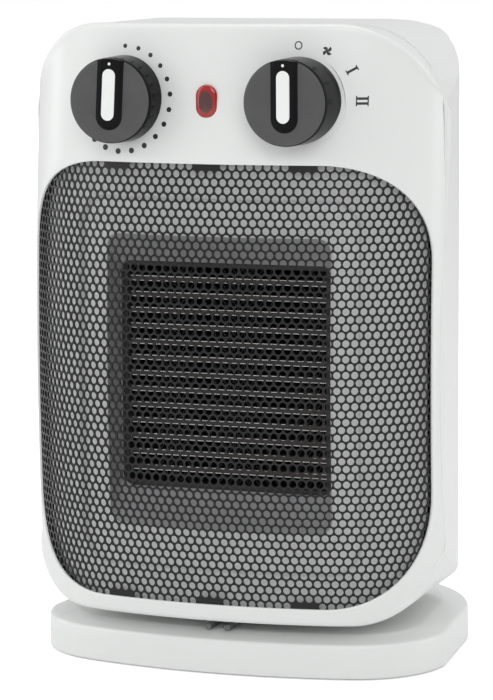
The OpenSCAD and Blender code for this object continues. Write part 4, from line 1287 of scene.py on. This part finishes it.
@dataclass
class Studio:
    """The floor, the world, the lamps and the camera."""

    camera_at: tuple[float, float, float] = (418.94, -1180.06, 293.78)
    yaw: float = 19.883
    pitch: float = 7.970
    roll: float = -0.373
    lens: float = 160.52
    shift: float = 0.0031
    floor_half: float = 6.0

    def floor(self) -> None:
        """Lays a pale floor that keeps the object's shadow."""
        mesh = bpy.data.meshes.new("floor")
        h = self.floor_half
        mesh.from_pydata([(-h, -h, 0), (h, -h, 0), (h, h, 0), (-h, h, 0)], [], [(0, 1, 2, 3)])
        floor = bpy.data.objects.new("floor", mesh)
        bpy.context.scene.collection.objects.link(floor)
        material = bpy.data.materials.new("floor_white")
        material.use_nodes = True
        tree = material.node_tree
        shader = tree.nodes["Principled BSDF"]
        shader.inputs["Base Color"].default_value = (0.92, 0.92, 0.92, 1)
        shader.inputs["Roughness"].default_value = 1.0
        shader.inputs["Specular IOR Level"].default_value = 0.0
        shader.inputs["Emission Color"].default_value = (1, 1, 1, 1)
        path = tree.nodes.new("ShaderNodeLightPath")
        place = tree.nodes.new("ShaderNodeTexCoord")
        away = tree.nodes.new("ShaderNodeVectorMath")
        away.operation = "LENGTH"
        tree.links.new(place.outputs["Object"], away.inputs[0])
        level = tree.nodes.new("ShaderNodeMapRange")
        level.interpolation_type = "SMOOTHSTEP"
        level.inputs["From Min"].default_value = 0.2
        level.inputs["From Max"].default_value = 0.8
        level.inputs["To Min"].default_value = 0.3
        level.inputs["To Max"].default_value = 1.0
        tree.links.new(away.outputs["Value"], level.inputs["Value"])
        lift = tree.nodes.new("ShaderNodeMath")
        lift.operation = "MULTIPLY"
        tree.links.new(path.outputs["Is Camera Ray"], lift.inputs[0])
        tree.links.new(level.outputs["Result"], lift.inputs[1])
        tree.links.new(lift.outputs[0], shader.inputs["Emission Strength"])
        mesh.materials.append(material)

    def world(self) -> None:
        """Sets a plain white world, full white only where the camera or a reflection sees it."""
        world = bpy.data.worlds.new("studio")
        bpy.context.scene.world = world
        world.use_nodes = True
        tree = world.node_tree
        back = tree.nodes["Background"]
        back.inputs["Color"].default_value = (1, 1, 1, 1)
        path = tree.nodes.new("ShaderNodeLightPath")
        seen = tree.nodes.new("ShaderNodeMath")
        seen.operation = "MAXIMUM"
        tree.links.new(path.outputs["Is Camera Ray"], seen.inputs[0])
        tree.links.new(path.outputs["Is Transmission Ray"], seen.inputs[1])
        level = tree.nodes.new("ShaderNodeMapRange")
        level.inputs["To Min"].default_value = 0.55
        level.inputs["To Max"].default_value = 1.0
        tree.links.new(seen.outputs[0], level.inputs["Value"])
        tree.links.new(level.outputs["Result"], back.inputs["Strength"])

    def lamp(self, name: str, at: tuple[float, float, float], size: tuple[float, float],
        power: float) -> None:
        """Adds one soft rectangular lamp that looks at the head.

        Args:
            name: the lamp's name.
            at: its place, in metres.
            size: width and height, in metres.
            power: watts.
        """
        data = bpy.data.lights.new(name, "AREA")
        data.shape = "RECTANGLE"
        data.size, data.size_y = size
        data.energy = power
        lamp = bpy.data.objects.new(name, data)
        bpy.context.scene.collection.objects.link(lamp)
        lamp.location = at
        lamp.rotation_mode = "QUATERNION"
        lamp.rotation_quaternion = (Vector((0, 0, 0.13)) - Vector(at)).to_track_quat("-Z", "Y")

    def camera(self) -> None:
        """Adds the camera at its viewing angle."""
        data = bpy.data.cameras.new("camera")
        data.sensor_width = 36.0
        data.lens = self.lens
        data.shift_y = self.shift
        camera = bpy.data.objects.new("camera", data)
        bpy.context.scene.collection.objects.link(camera)
        yaw, pitch, roll = (math.radians(a) for a in (self.yaw, self.pitch, self.roll))
        forward = Vector((-math.sin(yaw) * math.cos(pitch), math.cos(yaw) * math.cos(pitch),
            -math.sin(pitch)))
        right = Vector((math.cos(yaw), math.sin(yaw), 0.0))
        up = right.cross(forward)
        side = right * math.cos(roll) + up * math.sin(roll)
        top = up * math.cos(roll) - right * math.sin(roll)
        turn = Matrix((side, top, -forward)).transposed().to_4x4()
        camera.matrix_world = Matrix.Translation(Vector(self.camera_at) * MM) @ turn
        data.clip_start, data.clip_end = 0.05, 50.0
        bpy.context.scene.camera = camera

    def build(self) -> None:
        """Builds the surroundings."""
        bpy.context.scene.view_settings.view_transform = "Standard"
        self.floor()
        self.world()
        self.lamp("left_window", (-1.6, -1.1, 0.9), (1.2, 1.8), 9.5)
        self.lamp("front_soft", (0.9, -2.2, 1.4), (1.6, 1.2), 17.0)
        self.lamp("top_soft", (0.0, 0.3, 2.2), (1.8, 1.8), 15.0)
        self.lamp("right_rear", (1.5, 0.7, 0.6), (1.0, 1.0), 5.0)
        self.lamp("cheek_strip", (-1.5, 0.15, 0.2), (0.16, 1.3), 3.0)
        self.camera()


def dress_cad_nodes() -> None:
    """Gives every CAD node the finish of its record slot, save the crank track, whose rails get a dark grey
    painted shade.
    """
    slots = {row["node"]: row["material_slot"] for row in frame["record"]["subparts"]}
    for name, node in frame["nodes"].items():
        # The crank track gets painted shade in place of its white slot finish.
        finish = TRACK_PAINTED_SHADE if name == "crank_track" else CAD_FINISHES[slots[name]]
        material = finish.material()
        if not node.material_slots:
            node.data.materials.append(material)
        for slot in node.material_slots:
            slot.link = "OBJECT"
            slot.material = material


def main() -> None:
    """Builds every piece in order."""
    logging.basicConfig(level=logging.INFO, format="%(name)s: %(message)s")
    Studio().build()
    dress_cad_nodes()
    FrontCasing().build()
    PerforatedGrille().build()
    AirBaffle().build()
    Knob("left_knob", -35.3, Body.THERMOSTAT, ("thermostat_knob", "thermostat_pointer"), turn=3.0).build()
    Knob("right_knob", 35.3, Body.FUNCTION, ("function_knob", "function_pointer")).build()
    PanelPrint().build()
    PilotLens().build()
    BaseCover().build()


if __name__ == "__main__":
    main()
